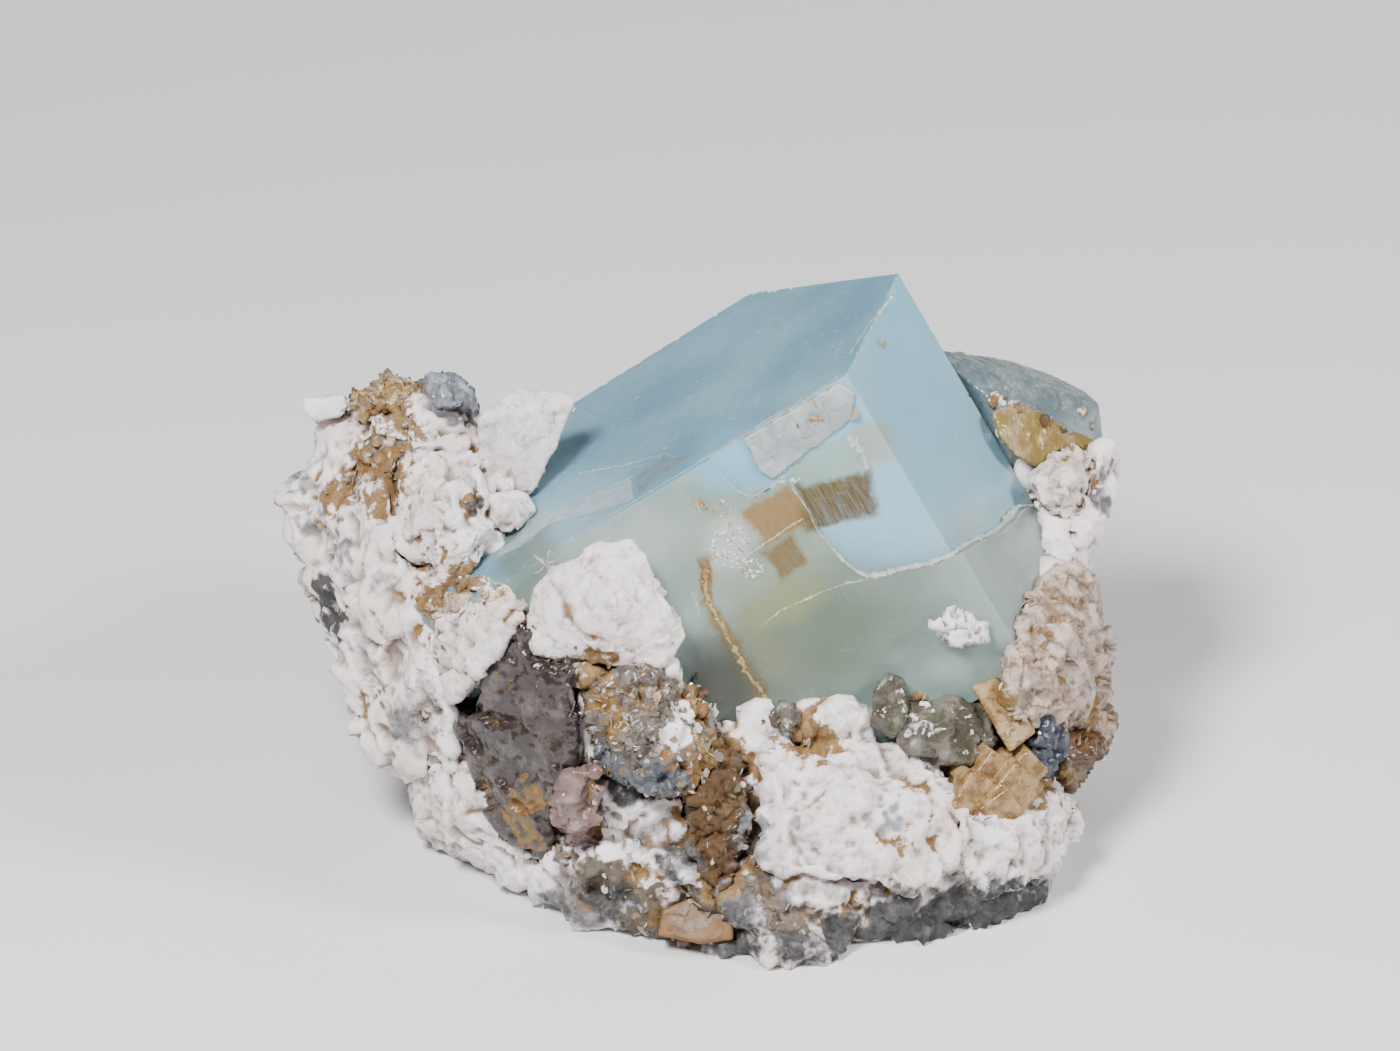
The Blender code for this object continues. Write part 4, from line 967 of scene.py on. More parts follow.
def scattered(name, count, weigh, seed, tree, **values):
    """Set small pieces on the stones where weigh(thing) is high."""
    places, leans, weights, kinds = [], [], [], []
    for stone in ROCKS:
        thing = bpy.data.objects[stone]
        points = points_of(thing.data)
        kinds.append(np.maximum(values_of(thing.data, "rust") * 0.9, CLAY_SHARE.get(stone, 0.0)))
        area = sum(face.area for face in thing.data.polygons) / len(points)
        weight = np.clip(weigh(thing), 0.0, None) * area
        weights.append(np.where(points[:, 2] < BARE_FOOT, 0.0, weight))
        places.append(points)
        leans.append(normals_of(thing.data))
    places, leans, weights, kinds = (np.concatenate(part) for part in (places, leans, weights, kinds))
    count = min(count, int((weights > 0).sum()))
    random = np.random.default_rng(seed)
    chosen = random.choice(len(places), count, replace=False, p=weights / weights.sum())
    sown(name, places[chosen], leans[chosen], seed, tree, kinds[chosen], **values)


def crumb_look(tones):
    """Crumbs of every mineral in the rock, told apart by their own tone."""
    look = Look("crumbs")
    tone = look.attribute("tone")
    body = tuple(tones.feldspar)
    for start, shade in (
        (0.26, (0.50, 0.38, 0.28)), (0.46, tuple(tones.rust)), (0.70, (0.24, 0.22, 0.22)),
        (0.82, (0.30, 0.19, 0.08)), (0.93, (0.07, 0.065, 0.07)),
    ):
        body = look.mix(look.math("GREATER_THAN", tone, start), body, shade)
    body = look.over(body, (0.46, 0.36, 0.28), look.patches(0.8 * MM, 3.0, 71, 0.55, 0.35, 0.7), 0.25)
    fine = look.group("stone_grain", Size=0.4 * MM)
    shine = look.math("MULTIPLY", look.math("GREATER_THAN", tone, 0.70), -0.35)
    return look.finish(body, look.math("ADD", shine, 0.8), look.bump(fine["Height"], 0.12 * MM, 0.7))


def flake_look(tones):
    """Pearly mica plates, from silver to bronze."""
    look = Look("mica_flakes", ior=1.58, coat=0.5, coat_roughness=0.12)
    tone = look.attribute("tone")
    body = look.mix(look.band(tone, 0.0, 0.6), (0.34, 0.30, 0.26), tuple(tones.mica))
    body = look.mix(look.band(tone, 0.66, 0.95), body, (0.58, 0.54, 0.48))
    body = look.over(body, (0.50, 0.29, 0.11), look.patches(3 * MM, 4.0, 72, 0.6, 0.52, 0.66), 0.7)
    return look.finish(body, look.math("MULTIPLY_ADD", tone, -0.2, 0.42))


def crumb_weight(thing):
    """Where crumbs gather: in the seams and hollows, and on the clay, mica and crusted places."""
    mesh = thing.data
    seam, hollow = values_of(mesh, "seam"), values_of(mesh, "hollow")
    if thing.name in CLEAN_STONES:
        return seam * 0.0
    if thing.name in DUSTY_STONES:
        return seam ** 4 * 0.05
    rich = CRUMB_RICH.get(thing.name, 0.0) + values_of(mesh, "crust") * 1.4
    plain = 0.02 + 0.05 * values_of(mesh, "unseen")
    return seam ** 1.5 * (0.35 + hollow) + rich * (0.2 + hollow) + plain * (0.3 + hollow)


def flake_weight(thing):
    """Where mica flakes gather: on the mica and clay, and in broad bands out of sight."""
    mesh = thing.data
    seam, mica = values_of(mesh, "seam"), values_of(mesh, "mica")
    wander = np.sin(points_of(mesh) @ np.array((410.0, 290.0, 350.0)) + 1.3)
    hidden = values_of(mesh, "unseen") * np.clip(wander, 0.0, 1.0) ** 3 * 0.35
    rich = FLAKE_RICH.get(thing.name, 0.0) * (1.0 - values_of(mesh, "pale"))
    return rich + mica ** 1.2 * 1.3 + seam * 0.05 + hidden


def build_crumbs(sizes, tones):
    mark_seams()
    tree = bpy.data.node_groups["crumb_scatter"]
    scattered(
        "crumbs", sizes.crumb_count, crumb_weight, sizes.seed + 60, tree, Seed=sizes.seed,
        Small=(0.35 * MM,) * 3, Large=(1.9 * MM, 1.4 * MM, 0.9 * MM), Tilt=1.2, Material=crumb_look(tones),
    )
    wide = sizes.flake_size
    tree = bpy.data.node_groups["flake_scatter"]
    scattered(
        "mica_flakes", sizes.flake_count, flake_weight, sizes.seed + 61, tree, Seed=sizes.seed + 1,
        Small=(wide * 0.6, wide * 0.6, 0.05 * MM), Large=(wide * 1.7, wide * 1.5, 0.16 * MM), Tilt=1.1,
        Material=flake_look(tones),
    )


# ---------------------------------------------------------------- the beryl

CORNER = Vector((17.4, -10.0, 64.0)) * MM
LEAN = math.radians(29.8)
LEAN_HEADING = math.radians(168.2)
FIRST_SIDE_TURN = math.radians(77.5)
SIDE_FRONT_RIGHT, SIDE_RIGHT, SIDE_BACK, SIDE_BACK_LEFT = 27 * MM, 29 * MM, 35 * MM, 40 * MM
FRONT_SKEW = math.radians(4)
PRISM_LENGTH = 43 * MM
PRISM_FOOT_Z = 8 * MM
BERYL_HALF_WIDTH = 24 * MM
BERYL_IOR = 1.575
BERYL_PARTS = ("basal", "foot", "broken")
# How nearly two directions agree, as their dot product, before a face counts as a crystal face
SAME_WAY = 0.998


def crystal_axes():
    """The beryl's axis and two directions across it, the first level with the drawing plane."""
    axis = Vector((
        math.sin(LEAN) * math.cos(LEAN_HEADING), math.sin(LEAN) * math.sin(LEAN_HEADING), math.cos(LEAN),
    ))
    across = Vector((0.0, 1.0, 0.0)).cross(axis).normalized()
    return axis, across, axis.cross(across)


def hexagon():
    across, along = crystal_axes()[1:]
    front_left = SIDE_FRONT_RIGHT + SIDE_RIGHT - SIDE_BACK_LEFT
    front = SIDE_RIGHT + SIDE_BACK - front_left
    front_left -= front * math.sin(FRONT_SKEW) / math.sin(math.radians(60) - FRONT_SKEW)
    corners = [CORNER.copy()]
    for index, side in enumerate((SIDE_FRONT_RIGHT, SIDE_RIGHT, SIDE_BACK, SIDE_BACK_LEFT, front_left)):
        turn = FIRST_SIDE_TURN + index * math.radians(60)
        corners.append(corners[-1] + (across * math.cos(turn) + along * math.sin(turn)) * side)
    return corners


def side_faces():
    """A corner and the outward normal of each of the beryl's six side faces."""
    corners, axis = hexagon(), crystal_axes()[0]
    middle = sum(corners, Vector()) / 6
    faces = []
    for first, second in zip(corners, corners[1:] + corners[:1]):
        normal = (second - first).cross(axis).normalized()
        if normal.dot(first - middle) < 0:
            normal.negate()
        faces.append((first, normal))
    return faces


def widened(step):
    """The corners of the beryl's upper end, moved out for a layer of later growth."""
    corners = hexagon()
    middle = sum(corners, Vector()) / 6
    return [middle + (corner - middle) * (1.0 + step / BERYL_HALF_WIDTH) for corner in corners]


def on_face(right, up, out=0.0, step=0.0):
    """The point of the beryl's front faces that is seen at a place on the drawing plane, and its normal."""
    corners = widened(step)
    axis = crystal_axes()[0]
    best = None
    for first, second in ((5, 0), (0, 1)):
        normal = (corners[second] - corners[first]).cross(axis).normalized()
        if normal.y > 0:
            normal.negate()
        start = seen(right, up, 0.0)
        way = seen(right, up, 1.0) - start
        point = start + way * ((corners[first] - start).dot(normal) / way.dot(normal))
        if best is None or point.y > best[0].y:
            best = (point, normal)
    return best[0] + best[1] * out, best[1]


def cut(body, tool, operation="DIFFERENCE", crossing=False):
    """Cut or join with an exact Boolean and drop the tool, whose pieces may cross each other."""
    step = body.modifiers.new("cut", "BOOLEAN")
    step.operation = operation
    step.solver = "EXACT"
    step.use_self = crossing
    step.object = tool
    settle(body)
    bpy.data.objects.remove(tool, do_unlink=True)


def add_hull(shape, points):
    """Add the closed convex hull of points to a bmesh."""
    hull = bmesh.new()
    for point in points:
        hull.verts.new(point)
    bmesh.ops.convex_hull(hull, input=hull.verts)
    loose = [vert for vert in hull.verts if not vert.link_faces]
    bmesh.ops.delete(hull, geom=loose, context="VERTS")
    piece = bpy.data.meshes.new("hull")
    hull.to_mesh(piece)
    hull.free()
    shape.from_mesh(piece)
    bpy.data.meshes.remove(piece)


def hull_of(points):
    shape = bmesh.new()
    add_hull(shape, points)
    return shape


def solid(name, shape):
    """An object from a bmesh, with its faces turned outwards."""
    bmesh.ops.recalc_face_normals(shape, faces=shape.faces)
    mesh = bpy.data.meshes.new(name)
    shape.to_mesh(mesh)
    shape.free()
    thing = bpy.data.objects.new(name, mesh)
    bpy.context.scene.collection.objects.link(thing)
    return thing


def prism(step, drop, prism_length):
    axis = crystal_axes()[0]
    top = [corner - axis * drop for corner in widened(step)]
    return hull_of(top + [corner - axis * prism_length for corner in top])


# The broken upper rim of the foot, from the right to the left, on the drawing plane
LEDGE = (
    (46.0, 56.5), (43.0, 55.4), (40.1, 55.1), (38.5, 55.2), (36.9, 53.2), (34.9, 51.8), (32.0, 50.7),
    (29.9, 49.2), (27.5, 48.2), (24.0, 47.5), (21.8, 46.9), (19.9, 46.6), (18.2, 47.6), (16.6, 49.0),
    (15.0, 51.0), (14.0, 52.0), (12.9, 54.4), (12.0, 55.8), (10.9, 57.4), (9.7, 58.8), (8.2, 57.2),
    (6.2, 56.0), (4.2, 56.9), (2.2, 59.2), (0.0, 61.6), (-1.6, 63.0),
)


def extruded(name, outline, way, front, back):
    """A closed slab: an outline of points pushed out both ways along a direction."""
    shape = bmesh.new()
    near = [shape.verts.new(point - way * front) for point in outline]
    far = [shape.verts.new(point + way * back) for point in outline]
    shape.faces.new(near)
    shape.faces.new(reversed(far))
    for index in range(len(outline)):
        after = (index + 1) % len(outline)
        shape.faces.new((near[after], near[index], far[index], far[after]))
    bmesh.ops.triangulate(shape, faces=[face for face in shape.faces if len(face.verts) > 4])
    return solid(name, shape)


def boulder(place, size, random):
    """A small lump with a few flat faces, for chipping an edge."""
    points = []
    for _ in range(11):
        way = Vector(random.normal(size=3)).normalized()
        points.append(place + way * size * random.uniform(0.75, 1.15))
    return points


def broken_rim(random):
    """The rim of the foot on the beryl's front, shaken between the places that LEDGE names."""
    rim = []
    for (right, up), (next_right, next_up) in zip(LEDGE, LEDGE[1:]):
        rim.append(on_face(right, up)[0])
        for part in (0.33, 0.66):
            jog = random.uniform(-0.16, 0.16, 2)
            across, above = right + (next_right - right) * part, up + (next_up - up) * part
            rim.append(on_face(across + jog[0], above + jog[1])[0])
    rim.append(on_face(*LEDGE[-1])[0])
    return rim


def edge_chips(random):
    """Boulders along the beryl's edges.

    A row holds the edge's ends, where the boulders start and end along it, how many there are, and the
    sizes of the smallest and the largest in millimetres.
    """
    corners, axis = hexagon(), crystal_axes()[0]
    middle = sum(corners, Vector()) / 6
    shape = bmesh.new()
    for first, second, start, end, count, small, large in (
        (corners[1], corners[2], 0.62, 1.0, 9, 0.55, 1.15),
        (corners[0], corners[1], 0.03, 0.97, 12, 0.22, 0.5),
        (corners[0], corners[5], 0.02, 0.40, 12, 0.2, 0.42),
        (corners[1], corners[1] - axis * 30 * MM, 0.05, 0.7, 7, 0.25, 0.5),
        (corners[2], corners[3], 0.0, 1.0, 14, 0.3, 0.8),
        (corners[0], corners[5], 0.45, 1.0, 8, 0.25, 0.5),
    ):
        outward = ((first - middle).normalized() + axis).normalized()
        for mark in np.linspace(start, end, count):
            along = float(mark) + random.uniform(-0.02, 0.02)
            place = first.lerp(second, along) + outward * random.uniform(0.05, 0.3) * MM
            add_hull(shape, boulder(place, random.uniform(small, large) * MM, random))
    return shape


def beryl_body(sizes):
    """The prism with its later growth round the foot, chipped along its edges."""
    random = np.random.default_rng(sizes.seed)
    body = solid("beryl", prism(0.0, 0.0, PRISM_LENGTH - 3 * MM))
    foot = solid("foot", prism(sizes.step_height, 0.06 * MM, PRISM_LENGTH))
    inward = Vector((-0.42, 0.86, -0.28)).normalized()
    rim = broken_rim(random) + [Vector((-20.0, -30.0, 95.0)) * MM, Vector((90.0, -30.0, 110.0)) * MM]
    level = [point - inward * inward.dot(point) for point in rim]
    cut(foot, extruded("above", level, inward, 90 * MM, 130 * MM))
    cut(body, foot, "UNION")
    low_end = PRISM_FOOT_Z / MM - 15
    below = [Vector((x, y, low_end + z)) * MM for x in (-90, 90) for y in (-90, 90) for z in (-60, 15)]
    cut(body, solid("low", hull_of(below)))
    cut(body, solid("chips", edge_chips(random)), crossing=True)
    worn = body.modifiers.new("worn", "BEVEL")
    worn.width = sizes.edge_wear
    worn.segments = 2
    worn.limit_method = "ANGLE"
    worn.angle_limit = math.radians(28)
    settle(body)
    return body


def mark_faces(thing):
    """Face attributes that tell the basal face, the foot and broken or worn places apart."""
    axis = crystal_axes()[0]
    walls = side_faces()
    values = {name: np.zeros(len(thing.data.polygons)) for name in BERYL_PARTS}
    for index, face in enumerate(thing.data.polygons):
        normal = face.normal
        corner, outward = max(walls, key=lambda wall: wall[1].dot(normal))
        if abs(normal.dot(axis)) > SAME_WAY:
            values["basal"][index] = 1.0
        elif outward.dot(normal) > SAME_WAY:
            values["foot"][index] = (face.center - corner).dot(outward) > 0.4 * MM
        else:
            values["broken"][index] = 1.0
    for name, marks in values.items():
        attribute = thing.data.attributes.new(name, "FLOAT", "FACE")
        attribute.data.foreach_set("value", marks.astype(np.float32))


# Patches seen on the beryl: right, up, half width, half height, turn in degrees, softness, strength, colour
BERYL_PATCHES = (
    (14.0, 39.0, 13.0, 8.0, 25, 0.7, 0.85, (0.17, 0.21, 0.14)),
    (4.0, 60.6, 4.8, 4.2, 30, 0.35, 0.85, (0.30, 0.64, 0.86)),
    (15.0, 59.2, 5.4, 3.2, 30, 0.25, 0.9, (0.42, 0.56, 0.46)),
    (20.6, 62.4, 2.6, 2.8, 0, 0.5, 0.7, (0.52, 0.54, 0.34)),
    (21.7, 74.6, 0.55, 0.45, 0, 0.5, 0.8, (0.42, 0.42, 0.10)),
    (6.0, 50.0, 8.0, 7.0, 0, 0.5, 0.6, (0.42, 0.46, 0.32)),
    (9.1, 53.9, 3.2, 2.6, 32, 0.16, 0.9, (0.40, 0.20, 0.036)),
    (16.3, 55.7, 4.5, 2.6, 14, 0.18, 0.98, (0.17, 0.095, 0.010)),
    (10.3, 48.9, 2.1, 2.0, 32, 0.25, 0.9, (0.24, 0.14, 0.020)),
    (3.4, 50.6, 2.8, 3.2, -20, 0.4, 0.8, (0.78, 0.80, 0.80)),
    (0.7, 46.4, 0.7, 2.8, 0, 0.4, 1.0, (0.30, 0.14, 0.03)),
    (3.2, 39.4, 1.0, 5.6, 28, 0.4, 0.9, (0.30, 0.22, 0.07)),
    (7.0, 33.0, 1.0, 3.0, 28, 0.4, 0.9, (0.30, 0.22, 0.08)),
    (3.0, 33.5, 4.0, 6.2, 24, 0.6, 0.9, (0.062, 0.058, 0.041)),
    (7.4, 38.4, 2.2, 5.4, 28, 0.5, 0.5, (0.30, 0.30, 0.16)),
    (-20.6, 49.2, 3.8, 3.8, 0, 0.4, 0.8, (0.16, 0.24, 0.18)),
    (10.0, 43.5, 5.0, 2.4, 30, 0.6, 0.7, (0.36, 0.38, 0.16)),
    (-9.0, 50.0, 9.0, 4.0, 20, 0.7, 0.6, (0.60, 0.70, 0.70)),
    (32.0, 53.5, 5.0, 2.0, 25, 0.7, 0.5, (0.60, 0.70, 0.62)),
    (34.5, 45.0, 6.0, 7.0, 0, 0.7, 0.5, (0.52, 0.60, 0.55)),
)
# A patch with less blue than this is iron stain, which is square and lies along the growth tubes
BROWN_BLUE = 0.04


def beryl_look(tones):
    """Milky clear beryl: blue above, greenish round the foot, with clouds, stains and growth tubes."""
    look = Look("aquamarine", ior=BERYL_IOR, transmission=0.45)
    basal, foot, broken = (look.attribute(name) for name in BERYL_PARTS)
    parts = look.add("ShaderNodeSeparateXYZ", {"Vector": look.place}).outputs
    right = look.math("DIVIDE", parts[0], MM)
    up = look.math("MULTIPLY", parts[2], COS / MM)
    up = look.math("MULTIPLY_ADD", look.math("SUBTRACT", parts[1], FRONT_Y), SIN / MM, up)
    flat = look.add("ShaderNodeCombineXYZ", {"X": right, "Y": up}).outputs[0]
    ragged = look.shaken(look.place, 2.5 * MM, 5.0, 61, 0.65, (3.0, 3.0, 0.0), flat)
    facing = look.vector("DOT_PRODUCT", look.add("ShaderNodeNewGeometry").outputs["Normal"], TOWARDS_VIEW)
    shown = look.band(facing, 0.05, 0.3)

    body = look.mix(look.patches(16 * MM, 4.0, 62, 0.55, 0.35, 0.75), tuple(tones.beryl), (0.50, 0.80, 0.96))
    green = look.mix(look.patches(8 * MM, 5.0, 63, 0.6, 0.40, 0.72), tuple(tones.foot), (0.50, 0.61, 0.58))
    body = look.mix(foot, body, green)
    haze = look.noise(look.place, 14 * MM, 4.0, 64, 0.5)
    frost = look.noise(look.place, 0.7 * MM, 4.0, 75, 0.7, (2.5, 1.0, 1.0))
    haze = look.math("MULTIPLY_ADD", frost, 0.7, haze)
    # The basal end: a frosted tone, painted darker and greyer than the sides as painted shade.
    frosted_and_shaded = look.mix(look.band(haze, 0.60, 1.10), (0.20, 0.45, 0.59), (0.38, 0.65, 0.77))
    body = look.mix(basal, body, frosted_and_shaded)
    swing = Vector((0.0, 0.0, 1.0)).rotation_difference(crystal_axes()[0]).inverted().to_euler()
    turned = look.add("ShaderNodeMapping", {"Vector": look.place, "Rotation": swing}).outputs[0]
    tubes = look.noise(turned, 0.22 * MM, 3.0, 65, 0.6, (1.0, 1.0, 14.0))
    lines = look.band(tubes, 0.36, 0.60, 0.78, 1.0)
    for across, above, wide, high, turn, soft, strength, tone in BERYL_PATCHES:
        local = look.add(
            "ShaderNodeMapping",
            {"Vector": ragged, "Location": (across, above, 0.0),
             "Rotation": (0.0, 0.0, math.radians(turn)), "Scale": (wide, high, 1.0)},
            vector_type="TEXTURE",
        ).outputs[0]
        brown = tone[2] < BROWN_BLUE
        if brown:
            sides = look.add("ShaderNodeSeparateXYZ", {0: local}).outputs
            away = look.math("MAXIMUM", look.math("ABSOLUTE", sides[0]), look.math("ABSOLUTE", sides[1]))
        else:
            away = look.vector("LENGTH", local)
        inside = look.band(away, 1.0 - soft, 1.0 + soft, strength, 0.0)
        inside = look.math("MULTIPLY", inside, shown)
        if brown:
            inside = look.math("MULTIPLY", inside, lines)
        body = look.mix(inside, body, tone)
    scratches = look.noise(look.place, 0.5 * MM, 3.0, 66, 0.6, (6.0, 1.6, 1.0))
    crowd = look.patches(6 * MM, 3.0, 74, 0.55, 0.35, 0.7, 0.05, -0.03)
    flecks = look.band(look.math("ADD", scratches, crowd), 0.63, 0.72)
    flecks = look.math("MULTIPLY", flecks, look.math("MULTIPLY_ADD", basal, 0.5, 0.10))
    body = look.mix(flecks, body, (0.85, 0.90, 0.92))
    # White on the chipped and bevelled faces: the white of broken beryl, and a painted highlight along the
    # edges.
    body = look.over(body, (0.88, 0.91, 0.90), broken, 0.85)
    rough = look.math("MULTIPLY_ADD", basal, 0.16, 0.20)
    rough = look.math("MULTIPLY_ADD", broken, 0.35, rough)
    rough = look.math("MULTIPLY_ADD", look.noise(look.place, 3 * MM, 4.0, 67), 0.12, rough)
    etched = look.noise(look.place, 1.3 * MM, 5.0, 68, 0.62, (2.2, 1.0, 1.0))
    etched = look.math("MULTIPLY", etched, look.math("MULTIPLY_ADD", basal, 0.8, 0.2))
    normal = look.bump(etched, 0.10 * MM, 0.6)
    striped = look.noise(turned, 0.9 * MM, 3.0, 69, 0.55, (1.0, 1.0, 25.0))
    normal = look.bump(striped, 0.05 * MM, 0.5, normal)
    splinter = look.group("glints", Size=0.5 * MM, Share=0.5)
    normal = look.bump(look.math("MULTIPLY", splinter["Height"], broken), 0.3 * MM, 0.8, normal)
    look.shader.inputs["Subsurface Weight"].default_value = 0.35
    look.shader.inputs["Subsurface Radius"].default_value = (0.6, 1.0, 1.1)
    look.shader.inputs["Subsurface Scale"].default_value = 4 * MM
    look.absorb((0.45, 0.80, 0.90), 26.0)
    return look.finish(body, rough, normal)


# Healed cracks on the beryl's front: half of the width, on the foot or not, and places on the drawing plane
CRACKS = (
    (0.20, True, LEDGE[:15]),
    (0.08, True, LEDGE[14:19]),
    (0.10, False, ((8.9, 59.0), (10.3, 57.5), (12.0, 55.2), (14.2, 51.8), (16.6, 49.1))),
    (0.09, True, ((19.9, 46.3), (17.4, 45.9), (14.0, 44.6), (9.6, 42.6), (7.1, 40.6))),
    (0.08, True, ((5.2, 48.8), (7.7, 50.6), (10.1, 52.3), (12.3, 53.6))),
    (0.05, True, LEDGE[20:24]),
    (0.36, False, ((17.5, 63.4), (18.7, 62.4), (19.4, 61.1), (19.9, 59.4))),
    (0.14, True, ((-19.6, 49.1), (-18.2, 48.0), (-16.6, 47.2))),
    (0.12, True, ((-18.1, 49.6), (-18.1, 48.0), (-17.8, 46.6))),
    (0.12, True, ((-19.6, 47.0), (-18.0, 48.2), (-16.4, 49.0))),
    (0.07, True, ((-1.0, 45.0), (0.0, 42.4), (-0.4, 41.2))),
)
# White lines on the upper end: half of the width, and places on the drawing plane
END_LINES = (
    (0.13, ((16.6, 70.4), (9.0, 65.9), (4.2, 63.0), (-0.3, 60.3))),
    (0.06, ((-14.6, 59.0), (-9.2, 59.9), (-4.3, 61.3), (-1.5, 60.4))),
    (0.09, ((-24.0, 49.4), (-19.1, 54.0), (-14.9, 55.2), (-8.0, 58.6))),
    (0.07, ((23.2, 80.6), (20.8, 77.6), (19.0, 75.0), (17.6, 72.8))),
)
# Frosted and grey plates on the upper end: name, colour and outline on the drawing plane
PLATES = (
    ("frosted_band", (0.46, 0.62, 0.66), (
        (-24.0, 49.1), (-19.1, 53.8), (-14.9, 55.0), (-8.2, 58.2), (-7.9, 55.9), (-12.0, 54.4), (-18.0, 53.0),
        (-21.4, 50.2),
    )),
    ("grey_facet", (0.24, 0.36, 0.40), (
        (-7.9, 58.2), (-5.4, 60.3), (-1.0, 61.2), (-3.2, 59.6), (-7.2, 56.6),
    )),
)
VEIN = ((0.7, 47.9), (0.6, 45.6), (1.0, 43.6), (2.5, 41.0), (4.2, 37.8), (5.6, 35.3), (8.3, 31.4))
# Ovals where fine grains sit: right, up, half width, half height and how many
DRUSE = ((3.5, 50.4, 2.4, 2.7, 150), (6.0, 47.6, 1.6, 1.2, 40), (10.6, 58.2, 1.2, 0.5, 14))
RUST_GRAINS = ((1.6, 54.8, 2.6, 1.0, 50), (-0.6, 55.6, 0.8, 0.6, 14), (13.6, 65.4, 0.6, 0.5, 14))


def on_end(right, up, out=0.0):
    """The point of the beryl's upper end that is seen at a place on the drawing plane."""
    axis = crystal_axes()[0]
    start = seen(right, up, 0.0)
    way = seen(right, up, 1.0) - start
    return start + way * ((hexagon()[0] - start).dot(axis) / way.dot(axis)) + axis * out


def resampled(line, spacing, random, jog):
    """Evenly spaced and slightly shaken places along a line on the drawing plane."""
    line = np.array(line)
    steps = np.hypot(*np.diff(line, axis=0).T)
    along = np.concatenate(([0.0], np.cumsum(steps)))
    marks = np.linspace(0.0, along[-1], max(3, int(along[-1] / spacing)))
    places = np.stack([np.interp(marks, along, line[:, axis]) for axis in (0, 1)], axis=1)
    return places + random.uniform(-jog, jog, places.shape)


def strip(shape, places, half, spot, lift, sink, random):
    """Add a thin closed strip that runs along places and goes in under the face."""
    run = np.gradient(places, axis=0)
    run /= np.hypot(run[:, 0], run[:, 1])[:, None] + 1e-9
    rings = []
    for index, (right, up) in enumerate(places):
        taper = min(1.0, 0.25 + 0.5 * min(index, len(places) - 1 - index))
        wide = half * taper * random.choice((0.35, 0.7, 1.0, 1.9), p=(0.25, 0.35, 0.28, 0.12))
        aside = np.array((-run[index, 1], run[index, 0])) * wide
        ring = []
        for sign, out in ((1, lift), (-1, lift), (-1, -sink), (1, -sink)):
            ring.append(shape.verts.new(spot(right + sign * aside[0], up + sign * aside[1], out)))
        rings.append(ring)
    for first, second in zip(rings, rings[1:]):
        for corner in range(4):
            after = (corner + 1) % 4
            shape.faces.new((first[corner], first[after], second[after], second[corner]))
    shape.faces.new(rings[0][::-1])
    shape.faces.new(rings[-1])


def sprinkled(ovals, random):
    """Places drawn inside ovals: right, up, half width, half height and how many."""
    places = []
    for right, up, wide, high, count in ovals:
        turn = random.uniform(0, math.tau, count)
        far = np.sqrt(random.uniform(0, 1, count))
        places += list(zip(right + wide * far * np.cos(turn), up + high * far * np.sin(turn)))
    return places


def mottled_look(name, first, second, patches, grain, rough, relief, **body):
    """Two tones in soft patches over a fine grain, whose relief is its height and strength."""
    look = Look(name, **body)
    tone = look.mix(look.patches(*patches), first, second)
    fine = look.group("stone_grain", Size=grain)
    return look.finish(tone, rough, look.bump(fine["Height"], *relief))


def laid(shape, surface):
    """Give a piece that lies on the beryl its material and let it ride with the specimen."""
    shape.data.materials.append(surface)
    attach(shape, "root")


